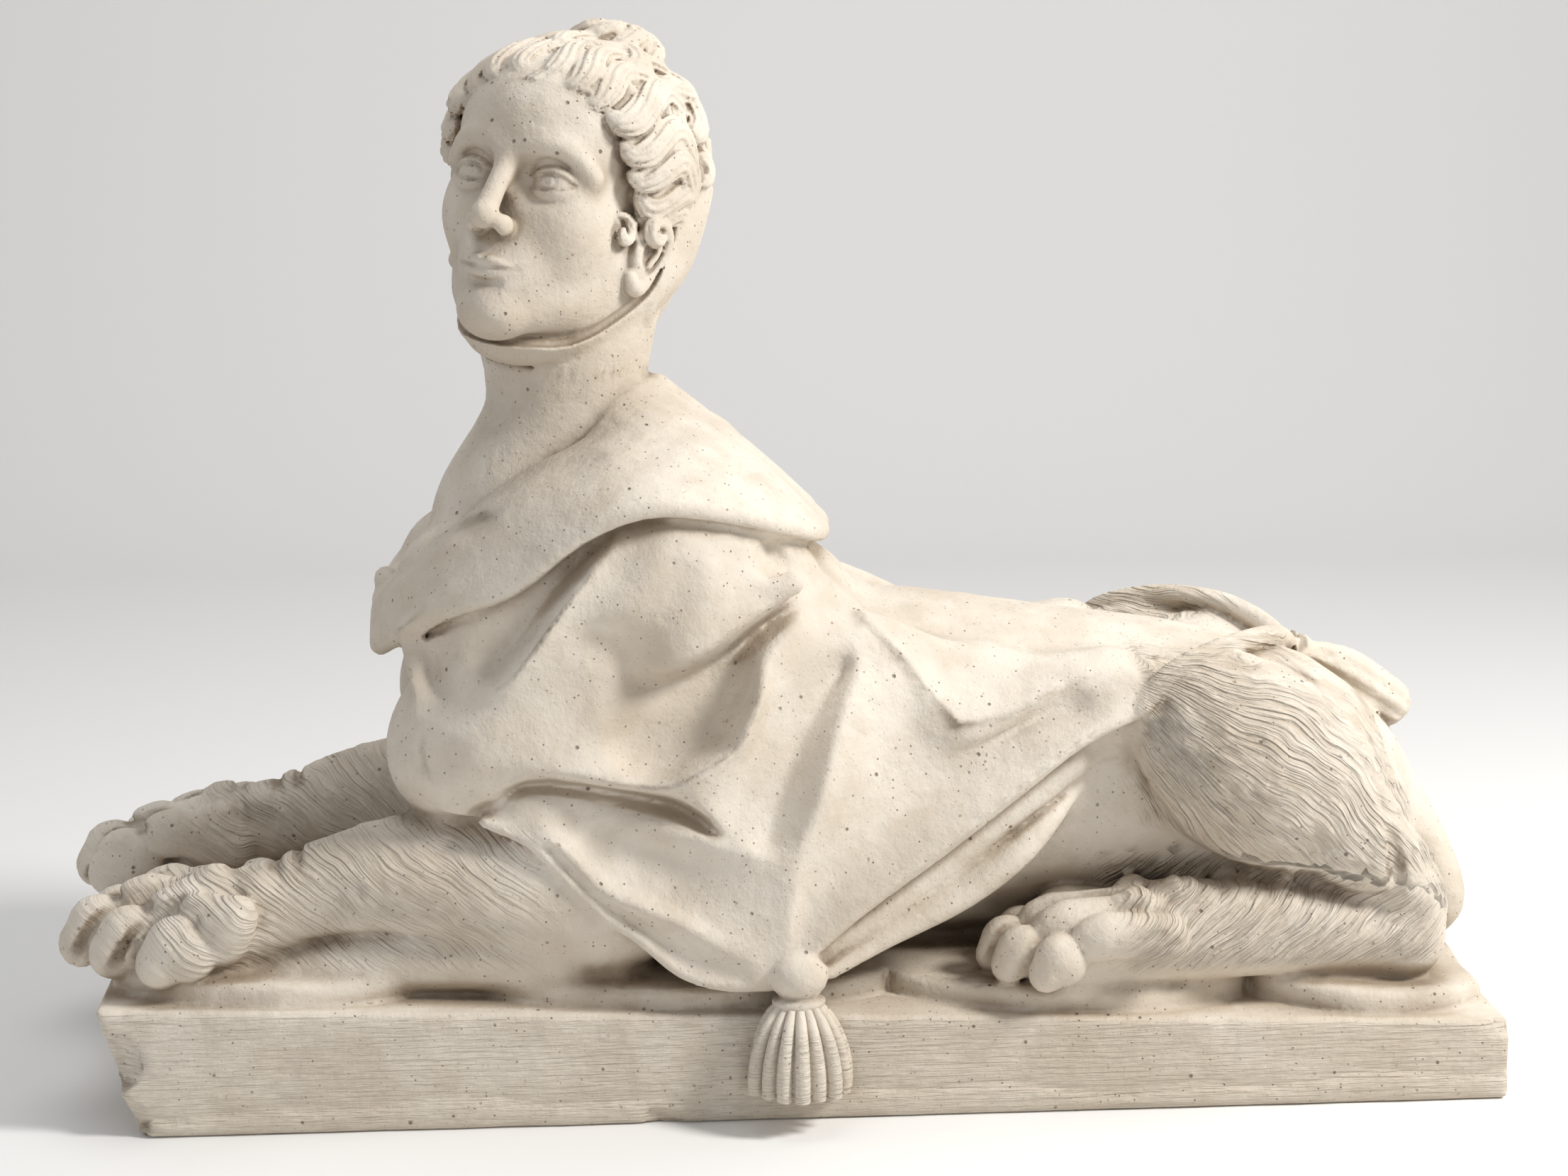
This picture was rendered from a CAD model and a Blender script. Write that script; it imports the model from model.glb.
# %% [markdown]
# # A reclining sphinx in pale cast stone
# The statue is a woman's head and breast on a lion's body. It lies on its own plinth, and the
# whole of it came out of one mould, so there is one big casting here and no joints at all.
# The sphinx looks towards -X, its left side is -Y, and Z points up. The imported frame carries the
# same sizes, so nothing is fitted: what is modelled here already stands where it belongs.

# %% Load the frame
from math import cos, hypot, pi, radians, sin, tau

import bpy
import numpy as np
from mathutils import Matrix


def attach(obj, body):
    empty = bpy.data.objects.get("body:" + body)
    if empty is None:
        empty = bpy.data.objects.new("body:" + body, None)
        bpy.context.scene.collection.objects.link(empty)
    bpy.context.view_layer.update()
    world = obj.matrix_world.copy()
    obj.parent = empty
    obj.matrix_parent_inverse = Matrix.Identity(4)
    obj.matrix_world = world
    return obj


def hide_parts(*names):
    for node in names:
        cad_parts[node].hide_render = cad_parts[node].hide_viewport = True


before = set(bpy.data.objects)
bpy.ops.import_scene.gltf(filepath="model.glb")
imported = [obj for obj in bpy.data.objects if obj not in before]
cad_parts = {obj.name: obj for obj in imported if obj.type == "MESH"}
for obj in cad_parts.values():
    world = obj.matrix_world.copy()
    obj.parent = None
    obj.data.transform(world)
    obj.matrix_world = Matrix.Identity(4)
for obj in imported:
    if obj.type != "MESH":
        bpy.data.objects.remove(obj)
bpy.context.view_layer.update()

# %% [markdown]
# ## Clay
# A figure such as this can be made with subdivision surfaces, with metaballs, or with Blender's
# sculpt brushes. Brushes can't be written down, and metaballs know only round shapes. So the
# figure is built as a modeller builds it in clay: plain masses are put on one after another, and
# each melts softly into what is there. Every mass is a function that gives, for any points, the
# distance to its skin, with less than nothing inside. All sizes are millimetres until the end.

# %% A mass, and the ball
class Mass:
    """A shape as a distance function, with the box it lies in."""

    def __init__(self, far, low, high):
        self.far = far
        self.low = np.array(low, float)
        self.high = np.array(high, float)


def ramp(a, b, v):
    """0 at a, 1 at b, smooth in between."""
    t = np.clip((v - a) / (b - a), 0, 1)
    return t * t * (3 - 2 * t)


def pitched(degrees):
    """Axes of a thing pitched nose-down towards +X."""
    c, s = cos(radians(degrees)), sin(radians(degrees))
    return np.array([[c, 0, -s], [0, 1, 0], [s, 0, c]])


def egg_gap(q, radii):
    """About how far points are from an egg of these radii round the origin."""
    near = np.sqrt(((q / radii) ** 2).sum(1))
    steep = np.sqrt(((q / radii ** 2) ** 2).sum(1)) + 1e-9
    return near * (near - 1) / steep


def ball(centre, radii, axes=np.eye(3)):
    centre, radii = np.array(centre, float), np.array(radii, float)
    half = np.sqrt(((radii[:, None] * axes) ** 2).sum(0))
    return Mass(lambda p: egg_gap((p - centre) @ axes.T, radii), centre - half, centre + half)


print("masses: ball")

# %% [markdown]
# A limb is a tube through a few points with a radius at each. Arms, hems, cords and locks of hair
# are all limbs. A curve object with a bevel would give the same tube, but it wouldn't melt into
# its neighbours; here its distance is the least distance to its short tapered lengths.

# %% The limb
def smooth_line(points, steps):
    """A curve through the points; each may carry more numbers, such as a radius."""
    points = np.array(points, float)
    whole = np.vstack([[2 * points[0] - points[1]], points, [2 * points[-1] - points[-2]]])
    a, b, c, d = whole[:-3, None], whole[1:-2, None], whole[2:-1, None], whole[3:, None]
    t = (np.arange(steps) / steps)[None, :, None]
    run = 0.5 * (2 * b + (c - a) * t + (2 * a - 5 * b + 4 * c - d) * t ** 2
                 + (3 * b - a - 3 * c + d) * t ** 3)
    return np.vstack([run.reshape(-1, points.shape[1]), points[-1:]])


def limb(points, steps=4, strands=0, depth=0.0, twist=0.0, out=None, flat=1.0, phase=0.0):
    """A tapered tube through [x, y, z, radius].

    With strands, grooves are combed along it; flat presses it thinner, facing away from out.
    """
    line = smooth_line(points, steps)
    spine, radius = line[:, :3], line[:, 3]
    seg = np.diff(spine, axis=0)
    length = np.sqrt((seg ** 2).sum(1)) + 1e-9
    run = np.concatenate([[0], np.cumsum(length)])
    shaped = strands or flat != 1.0
    if shaped:
        away = (np.tile([0.0, 0, 1], (len(seg), 1)) if out is None
                else spine[:-1] - np.array(out, float))
        along = seg / length[:, None]
        away -= (away * along).sum(1)[:, None] * along
        away /= np.sqrt((away ** 2).sum(1))[:, None] + 1e-9
        across = np.cross(along, away)

    def far(p):
        best = np.full(len(p), 1e9)
        for i in range(len(seg)):
            v = p - spine[i]
            t = np.clip(v @ seg[i] / length[i] ** 2, 0, 1)
            e = v - t[:, None] * seg[i]
            r = radius[i] + (radius[i + 1] - radius[i]) * t
            gap = (e ** 2).sum(1)
            if shaped:
                up = e @ away[i]
                gap = (np.sqrt(gap + up ** 2 * (1 / flat ** 2 - 1)) - r) * (0.5 + 0.5 * flat)
            else:
                gap = np.sqrt(gap) - r
            if strands:
                turn = np.arctan2(e @ across[i], up / flat) + twist * (run[i] + t * length[i]) / 10
                comb = (0.5 - 0.5 * np.cos((turn + phase) * strands)) ** 1.5
                gap = gap + depth * comb * np.clip(r / radius.max() * 1.4, 0, 1)
            np.minimum(best, gap, out=best)
        return best

    reach = radius.max() + depth
    return Mass(far, spine.min(0) - reach, spine.max(0) + reach)


print("masses: ball, limb")

# %% [markdown]
# Cloth needs one more kind of mass. A gore is a flat three-cornered piece of cloth with a
# thickness, and a sheet is a row of gores laid through a net of points.

# %% Cloth: gores and sheets
def gore(a, b, c, thick):
    """A three-cornered piece of cloth, so thick to either side."""
    a, b, c = (np.array(v, float) for v in (a, b, c))
    normal = np.cross(b - a, c - a)
    normal /= np.linalg.norm(normal) + 1e-12
    sides = [(p, q - p, np.cross(normal, q - p)) for p, q in ((a, b), (b, c), (c, a))]

    def far(points):
        inside = np.ones(len(points), bool)
        best = np.full(len(points), 1e9)
        for start, along, inward in sides:
            v = points - start
            inside &= (v @ inward) >= 0
            t = np.clip(v @ along / (along @ along), 0, 1)
            best = np.minimum(best, np.sqrt(((v - t[:, None] * along) ** 2).sum(1)))
        return np.where(inside, np.abs((points - a) @ normal), best) - thick

    corners = np.array([a, b, c])
    return Mass(far, corners.min(0) - thick, corners.max(0) + thick)


def sheet(rows, thick, steps=3, across=2):
    """Cloth through rows of points; steps and across refine the net."""
    rows = np.array(rows, float)
    columns = [smooth_line(rows[:, k], steps) for k in range(rows.shape[1])]
    net = [smooth_line([line[i] for line in columns], across) for i in range(len(columns[0]))]
    gores = []
    for i in range(len(net) - 1):
        for j in range(len(net[0]) - 1):
            gores.append(gore(net[i][j], net[i + 1][j], net[i + 1][j + 1], thick))
            gores.append(gore(net[i][j], net[i + 1][j + 1], net[i][j + 1], thick))

    def far(points):
        best = np.full(len(points), 40.0)
        for g in gores:
            near = ((points > g.low - 20) & (points < g.high + 20)).all(1)
            if near.any():
                best[near] = np.minimum(best[near], g.far(points[near]))
        return best

    flat = np.array(net).reshape(-1, 3)
    return Mass(far, flat.min(0) - thick, flat.max(0) + thick)


print("cloth: gore, sheet")

# %% [markdown]
# The order of work is a list, because a later mass melts into the earlier ones. `add` puts clay
# on, `cut` takes it off, and `press` raises or sinks the skin by an amount that differs from
# place to place, which is how locks of fur, dents and fine lines are made.

# %% The order of work
WORK = []


def add(mass, blend=1.0):
    WORK.append(("add", mass, blend))


def cut(mass, blend=1.0):
    WORK.append(("cut", mass, blend))


def press(rise, low, high):
    WORK.append(("press", Mass(rise, low, high), 0.0))


def melt(a, b, blend):
    """The nearer of two distances, rounded off where they are about the same."""
    h = np.maximum(blend - np.abs(a - b), 0) / blend
    return np.minimum(a, b) - h * h * blend / 4


def distance(work, points, band):
    """How far the points are from the skin of the work so far, wherever that is near."""
    d = np.full(len(points), 60.0)
    for kind, mass, blend in work:
        reach = blend + band
        near = np.flatnonzero(((points > mass.low - reach) & (points < mass.high + reach)).all(1))
        if not len(near):
            continue
        value = mass.far(points[near])
        if kind == "add":
            d[near] = melt(d[near], value, max(blend, 1e-6))
        elif kind == "cut":
            d[near] = -melt(-d[near], value, max(blend, 1e-6))
        else:
            d[near] -= value
    return d


print("order of work: add, cut, press")

# %% [markdown]
# ## From clay to a mesh
# The distances are sampled on a grid. A voxel remesh does the same to a mesh that is there
# already, but here the grid is the first thing there is. It is coarse at first, and the distances
# are worked out in fine steps only in the blocks where the skin passes.

# %% Sample the grid
def grid_lines(low, high, cell):
    return np.linspace(low, high, int(round((high - low) / cell)) + 1)


def sample(work, low, high, cell, coarse=5):
    """Distances on a grid over a box, worked out finely only near the skin."""
    low, high = np.array(low, float), np.array(high, float)
    axes = [grid_lines(a, b, cell) for a, b in zip(low, high)]
    size = [len(a) for a in axes]
    near = [w for w in work if (w[1].low - 60 < high).all() and (w[1].high + 60 > low).all()]
    middles = [a[:-1][::coarse] + coarse * cell / 2 for a in axes]
    points = np.stack(np.meshgrid(*middles, indexing="ij"), -1).reshape(-1, 3)
    reach = coarse * cell * 0.866
    rough = distance(near, points, reach * 2.2)
    live = np.abs(rough) < reach * 1.35 + cell
    rough = rough.reshape([len(m) for m in middles])
    grid = rough
    for axis in range(3):
        grid = np.repeat(grid, coarse, axis)
        grid = np.take(grid, np.minimum(np.arange(size[axis]), grid.shape[axis] - 1), axis)
    grid = np.ascontiguousarray(grid, dtype=np.float32)
    blocks = np.argwhere(live.reshape(rough.shape))
    corner = np.stack(np.meshgrid(*[np.arange(coarse + 1)] * 3, indexing="ij"), -1).reshape(-1, 3)
    for start in range(0, len(blocks), 3000):
        nodes = (blocks[start:start + 3000, None] * coarse + corner[None]).reshape(-1, 3)
        nodes = nodes[(nodes < size).all(1)]
        key = np.unique((nodes[:, 0] * size[1] + nodes[:, 1]) * size[2] + nodes[:, 2])
        i, j, k = key // (size[1] * size[2]), key // size[2] % size[1], key % size[2]
        spots = np.stack([axes[0][i], axes[1][j], axes[2][k]], 1)
        grid[i, j, k] = distance(near, spots, cell * 3)
    for axis in range(3):
        for end in (0, -1):
            wall = [slice(None)] * 3
            wall[axis] = end
            grid[tuple(wall)] = np.maximum(grid[tuple(wall)], cell)
    return grid, axes


print("grid: sample")

# %% [markdown]
# Hollows that no air reaches are filled: air is let in from the outside and swept along every
# axis until it gets no further. Corners where two solid cells meet only along an edge are closed
# as well, because a skin drawn there would not be a proper solid.

# %% Make the solid sound
def fill_hollows(grid):
    """Make solid every hollow that the air outside can't reach."""
    solid = grid < 0
    air = np.zeros_like(solid)
    air[0] = air[-1] = ~solid[0]
    air[:, 0] |= ~solid[:, 0]
    air[:, -1] |= ~solid[:, -1]
    air[:, :, 0] |= ~solid[:, :, 0]
    air[:, :, -1] |= ~solid[:, :, -1]
    count = 0
    while count != air.sum():
        count = air.sum()
        for axis in range(3):
            flow, shut = np.moveaxis(air, axis, 0), np.moveaxis(solid, axis, 0)
            for k in range(1, len(flow)):
                flow[k] |= flow[k - 1] & ~shut[k]
            for k in range(len(flow) - 2, -1, -1):
                flow[k] |= flow[k + 1] & ~shut[k]
    lost = ~air & ~solid
    grid[lost] = -0.5
    return int(lost.sum())


def close_pinches(grid):
    """Fill one cell wherever two solid cells touch only along an edge."""
    for _ in range(30):
        changed = 0
        for a, b in ((0, 1), (0, 2), (1, 2)):
            def part(i, j):
                cut = [slice(None)] * 3
                cut[a] = slice(1, None) if i else slice(0, -1)
                cut[b] = slice(1, None) if j else slice(0, -1)
                return tuple(cut)
            solid = grid < 0
            p, q, r, s = solid[part(0, 0)], solid[part(1, 0)], solid[part(0, 1)], solid[part(1, 1)]
            first, second = p & s & ~q & ~r, q & r & ~p & ~s
            changed += int(first.sum() + second.sum())
            grid[part(1, 0)][first] = -1e-3
            grid[part(0, 0)][second] = -1e-3
        if not changed:
            break


print("grid: fill_hollows, close_pinches")

# %% [markdown]
# Every cell that the skin passes through gets one vertex, at the mean of the places where the
# skin crosses its edges, and every grid edge that the skin crosses gets one face.

# %% Draw the skin
def skin(grid, axes):
    """Vertices and outward faces of the solid in a grid."""
    solid = grid < 0
    nx, ny, nz = grid.shape
    corners = [(i, j, k) for i in (0, 1) for j in (0, 1) for k in (0, 1)]

    def corner(array, i, j, k):
        return array[i:nx - 1 + i, j:ny - 1 + j, k:nz - 1 + k]

    count = sum(corner(solid, *c).astype(np.int8) for c in corners)
    crossed = (count > 0) & (count < 8)
    cells = np.argwhere(crossed)
    number = np.full(crossed.shape, -1, np.int32)
    number[crossed] = np.arange(len(cells))
    value = {c: corner(grid, *c)[crossed].astype(float) for c in corners}
    place = np.zeros((len(cells), 3))
    weight = np.zeros(len(cells))
    for a in corners:
        for axis in range(3):
            if a[axis]:
                continue
            b = tuple(v + (n == axis) for n, v in enumerate(a))
            hit = (value[a] < 0) != (value[b] < 0)
            t = np.where(hit, value[a] / np.where(hit, value[a] - value[b], 1), 0)
            step = np.array(a) + t[:, None] * (np.array(b) - np.array(a))
            place += np.where(hit[:, None], step, 0)
            weight += hit
    place /= weight[:, None]
    verts = np.empty_like(place)
    for axis, line in enumerate(axes):
        low, high = line[cells[:, axis]], line[cells[:, axis] + 1]
        verts[:, axis] = low + (high - low) * place[:, axis]
    faces = []
    for axis in range(3):
        others = [a for a in range(3) if a != axis]
        one, two = [slice(None)] * 3, [slice(None)] * 3
        one[axis], two[axis] = slice(0, -1), slice(1, None)
        for part in (one, two):
            for a in others:
                part[a] = slice(1, -1)
        here, there = solid[tuple(one)], solid[tuple(two)]
        base = np.argwhere(here != there)
        turned = here[here != there]
        for a in others:
            base[:, a] += 1

        def cell(d0, d1):
            c = base.copy()
            c[:, others[0]] -= d0
            c[:, others[1]] -= d1
            return number[c[:, 0], c[:, 1], c[:, 2]]

        quad = np.stack([cell(1, 1), cell(0, 1), cell(0, 0), cell(1, 0)], 1)
        if axis == 1:
            turned = ~turned
        quad[~turned] = quad[~turned][:, ::-1]
        faces.append(quad)
    return verts, np.vstack(faces)


print("skin ready")

# %% [markdown]
# ## Plinth and rock
# The plinth was cast a little wedge-shaped, higher under the paws, and its front end is broken
# and leans in at the foot. A bevelled cube would look sawn; a box from its signed gaps, with a
# smooth unevenness added to them, looks like old cast stone.

# %% Plinth
PLINTH_LENGTH, PLINTH_WIDTH = 1120, 400
FRONT_HEIGHT, REAR_HEIGHT = 105, 67
FRONT_UNDERCUT = 30
SLAB_RISE = 18
LEFT, RIGHT = -1, 1


def plinth_top(x):
    return FRONT_HEIGHT + (REAR_HEIGHT - FRONT_HEIGHT) * (x / PLINTH_LENGTH + 0.5)


def wobble(p, wave, seed):
    """A smooth unevenness between -1 and 1, the same every time."""
    rng = np.random.default_rng(seed)
    total = np.zeros(len(p))
    for _ in range(6):
        direction = rng.normal(size=3)
        direction /= np.linalg.norm(direction)
        total += np.sin(p @ direction * tau / (wave * rng.uniform(0.7, 1.5)) + rng.uniform(0, tau))
    return total / 3.5


def rounded(gaps, round_off):
    """A box from its signed gaps, with the edges rounded off."""
    gaps = [g + round_off for g in gaps]
    outside = np.sqrt(sum(np.maximum(g, 0) ** 2 for g in gaps))
    return outside + np.minimum(0, np.maximum.reduce(gaps)) - round_off


def plinth():
    end, side = PLINTH_LENGTH / 2, PLINTH_WIDTH / 2

    def far(p):
        x, y, z = p.T
        lean = FRONT_UNDERCUT * np.clip(1 - z / FRONT_HEIGHT, 0, 1)
        front = -x - end + lean + 3.0 + 3.0 * wobble(p, 60, 4)
        wear = 0.8 * wobble(p, 45, 3) + 0.5 * wobble(p, 14, 5)
        seam = 17 + 4 * np.sin(x / 61) + 3 * np.sin(x / 23 + 1)
        wear = wear - 2.4 * ramp(3, -3, z - seam) + 1.8 * ramp(5, 0, np.abs(z - seam - 4))
        sides = np.maximum(front, x - end + 0.8)
        top = z - plinth_top(x) + 1.0
        return rounded([sides, np.abs(y) - side + 1.4 + wear * 0.7, top, -z], 5)

    add(Mass(far, (-end, -side, 0), (end, side, FRONT_HEIGHT)), 1)


print("plinth", PLINTH_LENGTH, "x", PLINTH_WIDTH, "high", FRONT_HEIGHT, "to", REAR_HEIGHT)

# %% [markdown]
# The slab of rock under the animal ends in broad lobes that meet in cusps. Years of handling have
# knocked bits off the plinth's corners and edges; each knock is a rough ball cut out of it.

# %% Rock and knocks
ROCK_CUSPS = np.array([-560, -290, 65, 360, 560])


def rock_reach(x):
    k = np.clip(np.searchsorted(ROCK_CUSPS, x) - 1, 0, 3)
    t = np.clip((x - ROCK_CUSPS[k]) / (ROCK_CUSPS[k + 1] - ROCK_CUSPS[k]), 0, 1)
    return 125 + 64 * np.sin(pi * t) ** 0.55


def rock():
    def far(p):
        x, y, z = p.T
        uneven = 2.5 * wobble(p, 70, 8)
        out = np.maximum(np.abs(x) - 552, np.abs(y) - rock_reach(x)) + uneven
        return rounded([out, z - plinth_top(x) - SLAB_RISE + uneven, 45 - z], 7) * 0.8

    add(Mass(far, (-552, -195, 45), (552, 195, 130)), 4)


# each knock: its place and radius
KNOCKS = [(-560, -200, 60, 26), (-562, -120, 22, 18), (-555, 60, 100, 16), (-548, -204, 12, 22),
          (-300, -206, 100, 12), (-120, -207, 4, 14), (330, -207, 74, 13), (560, -204, 66, 18),
          (562, 100, 70, 16), (180, 207, 88, 14), (-420, 206, 100, 13), (-561, 190, 40, 22),
          (500, 206, 6, 16), (60, -207, 88, 9), (-480, -206, 104, 10)]


def knocks():
    """Corners and edges that were knocked off the plinth."""
    for n, (x, y, z, r) in enumerate(KNOCKS):
        shape = ball((x, y, z), (r * 1.5, r * 0.8, r))
        rough = Mass(lambda p, s=shape, n=n: s.far(p) + 2.0 * wobble(p, 13, 40 + n),
                     shape.low, shape.high)
        cut(rough, 2)


print("lobes of rock", len(ROCK_CUSPS) - 1, "knocks", len(KNOCKS))

# %% [markdown]
# ## The lion
# The trunk, the legs and the tail are limbs: tapered tubes through a few points. A paw is four
# toes that melt into each other, and each toe is a stem, a knuckle, a pad and a rounded end.

# %% Trunk and forelegs
LEG_OUT, FAR_PAW_REACH = 132, 20
# knuckle, pad and end of a toe: how far behind its middle, height, radii, pitch, blend
FORE_TOE = ((30, 166, (23, 18, 20), 12, 5), (-2, 146, (29, 21, 26), 30, 3),
            (-20, 134, (18, 18, 20), 0, 5))


def sided(side):
    """Writes a point or a point with a radius for one side of the body."""
    return lambda x, y, *rest: [x, side * y, *rest]


def tube(side, points, blend, how=add):
    """A limb through [x, y, z, radius] on one side of the body."""
    how(limb([sided(side)(*p) for p in points]), blend)


def toe(side, x, y, stem, parts):
    tube(side, stem, 6)
    for behind, z, radii, pitch, blend in parts:
        add(ball(sided(side)(x + behind, y, z), radii, pitched(pitch)), blend)


def trunk():
    add(limb([[-100, 0, 240, 140], [50, 0, 245, 145], [200, 0, 236, 135],
              [320, 0, 222, 130], [410, 0, 195, 118]]), 20)


def foreleg(side, reach):
    at, w = sided(side), LEG_OUT
    tube(side, [(x - reach, w, z, r) for x, z, r in (
        (-170, 170, 65), (-250, 179, 60), (-320, 187, 49), (-385, 178, 38), (-432, 162, 37),
        (-480, 150, 43))], 20)
    for y, x in ((-45, -542), (-17, -556), (15, -528), (46, -488)):
        tip = x - reach
        toe(side, tip, w + y, [(-462 - reach, w + y * 0.75, 152, 24), (tip + 38, w + y, 170, 19)],
            FORE_TOE)
        crease = [at(tip + dx, w + y + dy, z, 1.6)
                  for dx, dy, z in ((14, -13, 176), (11, 0, 172), (14, 13, 176))]
        cut(limb(crease, 2), 7)
    for y, x in ((-31, 0), (-1, 0), (31, 34)):
        between = smooth_line([at(x + dx - reach, w + y, z) for dx, z in (
            (-470, 192), (-520, 182), (-560, 158), (-584, 120))], 5)
        cut(limb([[*p, 3.0] for p in between], 1), 5)
    # the rock below the forearm
    tube(side, [(-440, 138, 108, 16), (-380, 142, 118, 22), (-300, 146, 126, 28),
                (-200, 148, 130, 34)], 8)
    # knuckle lumps and wrinkles over the wrist
    for x, y, z, r in ((-470, -34, 176, 17), (-462, 2, 186, 18), (-470, 36, 174, 16),
                       (-432, -22, 186, 15), (-428, 20, 184, 15)):
        add(ball(at(x - reach, w + y, z), [r * 1.3, r, r * 0.8], pitched(10)), 7)
    for x, z, r in ((-448, 198, 2.4), (-414, 203, 2.4), (-396, 208, 2.0)):
        arc = [[x - reach - 6 * cos(a) ** 2, side * w + side * 50 * sin(a), z - 42 + 42 * cos(a), r]
               for a in np.linspace(-0.9, 0.9, 9)]
        cut(limb(arc, 2), 7)


print("trunk, forelegs, toes:", len(FORE_TOE), "masses each")

# %% [markdown]
# The haunch is a big egg that stands clear of the trunk. The shank folds back under it to the
# heel, and the hind foot lies flat and long. The tail comes out behind and is laid round the foot.

# %% Hind legs and tail
HIND_OUT = 158
HIND_TOE = ((26, 142, (20, 16, 18), 10, 4), (-2, 126, (22, 17.5, 21), 25, 2.5),
            (-14, 115, (14, 15, 15), 0, 4))


def hind_leg(side):
    at, w = sided(side), HIND_OUT
    add(ball(at(385, 80, 262), [100, 90, 84], pitched(30)), 20)
    add(ball(at(362, 134, 266), [108, 62, 80], pitched(34)), 7)
    tube(side, [(396, 128, 246, 56), (446, 136, 200, 44), (490, 136, 156, 30),
                (492, 144, 118, 24)], 10)
    tube(side, [(487, 135, 118, 30), (420, 140, 128, 36), (330, 148, 133, 40),
                (250, 155, 130, 40), (210, 158, 125, 42)], 12)
    for y, x in ((-38, 178), (-12, 162), (16, 170), (42, 196)):
        toe(side, x, w + y, [(x + 82, w + y * 0.8, 140, 20), (x + 34, w + y, 146, 18)], HIND_TOE)
    for y in (-25, 2, 30):
        tube(side, [(x, w + y, z, r) for x, z, r in (
            (252, 168, 2), (202, 165, 3), (160, 144, 3), (140, 108, 3))], 6, cut)
    for x, y, z, r in ((268, -20, 164, 15), (262, 16, 163, 15), (300, 0, 168, 16)):
        add(ball(at(x, w + y, z), [r * 1.4, r, r * 0.7]), 7)
    tube(side, [(380, 100, 180, 44), (450, 112, 160, 36), (488, 126, 140, 28)], 10)
    # heel, hock and the tendon between them
    add(ball(at(486, 150, 112), [16, 18, 16]), 8)
    tube(side, [(462, 172, 214, 3), (470, 172, 170, 4), (462, 172, 140, 3)], 10, cut)


def tail():
    """Down behind the rump and forward past the far hind foot."""
    add(limb([[440, 0, 270, 30], [500, -10, 215, 27], [535, -20, 160, 24], [547, -25, 115, 24],
              [530, 20, 95, 22], [480, 120, 88, 20], [400, 185, 86, 19], [310, 188, 88, 26]]), 12)


print("hind legs, tail")

# %% [markdown]
# The coat was modelled in locks that follow the limb: on the haunch they run in arcs from its top
# down to the hock, and on the legs and paws at a slant. A hair system would make real hairs, and
# these are only strokes of a modeller's tool. So a direction is worked out for every point, as how
# far it lies along and across its lock, and both the clay and the finish follow it.

# %% Directions of the fur
def between_poles(x, z, first, second):
    """Along and across the arcs that run from one point to another, in about millimetres."""
    length = hypot(second[0] - first[0], second[1] - first[1])
    ax, az, bx, bz = x - first[0], z - first[1], x - second[0], z - second[1]
    along = np.log(np.hypot(ax, az) / np.hypot(bx, bz)) * length / 4
    angle = np.arctan2(ax * bz - az * bx, ax * bx + az * bz)
    return along, (np.mod(angle, tau) - pi) * length / 4


def slanted(x, z, degrees):
    c, s = cos(radians(degrees)), sin(radians(degrees))
    return x * c + z * s, z * c - x * s


def fur_flow(p):
    """Along and across the locks of fur, and how furry a point is."""
    x, y, z = p.T
    side = np.abs(y)
    haunch = ramp(40, 75, side) * ramp(0, 18, z - 172 + 0.25 * (x - 420)) * ramp(258, 276, x)
    haunch = haunch * ramp(0, 14, 30 + 345 - z - 0.12 * (x - 340))
    foot = ramp(232, 262, x) * ramp(520, 490, x) * ramp(98, 112, side) * ramp(104, 116, z)
    foot = foot * ramp(196, 178, z)
    leg = ramp(-200, -250, x) * ramp(118, 134, z) * ramp(245, 225, z) * ramp(60, 76, side)
    leg = leg * (0.2 + 0.5 * ramp(-525, -480, x))
    parts = ((haunch, between_poles(x, z, (232, 345), (526, 120))), (foot, slanted(x, z, 38)),
             (leg, slanted(x, z, -36)))
    masks = np.array([mask for mask, _ in parts])
    elsewhere = np.where(x > 150, np.where(z > 185, 0, 1), 2)
    first = np.where(masks.max(0) > 0, masks.argmax(0), elsewhere)
    along = np.choose(first, [flow[0] for _, flow in parts])
    across = np.choose(first, [flow[1] for _, flow in parts])
    ordered = np.sort(masks, 0)
    return along, across, ordered[-1] - ordered[-2]


print("fur directions")

# %% [markdown]
# The broad locks are pressed into the clay before any cloth is laid, so none shows through it.
# The finish draws the fine hairs along them later.

# %% Press the fur
def fur():
    """Broad wavy locks with a rounded back and a sharp valley between them."""
    def rise(p):
        along, across, furry = fur_flow(p)
        bend = across + 4.5 * np.sin(along / 12) + 2.5 * np.sin(along / 5.3 + across / 8)
        ridge = np.abs(np.sin(bend * pi / 15)) ** 0.7
        tufts = 0.6 + 0.4 * np.sin(along / 9 + 2.0 * np.sin(across / 11))
        return furry * (3.0 * ridge * tufts - 1.7) * (0.7 + 0.3 * ramp(-100, 100, p[:, 0]))

    for side in (LEFT, RIGHT):
        for low, high in (((258, 40, 172), (500, 215, 372)), ((205, 96, 96), (525, 205, 180)),
                          ((-620, 60, 112), (-200, 210, 235))):
            box = np.array([low, high], float)
            box[:, 1] *= side
            press(rise, box.min(0), box.max(0))


print("fur")

# %% [markdown]
# ## Breast and neck
# From the shoulders up the sphinx is a woman. The trunk's masses would look like a barrel there, so
# rounder ones with wide blends are used. The shawl is tied in a small knot between the breasts,
# made of four little balls.

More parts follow.
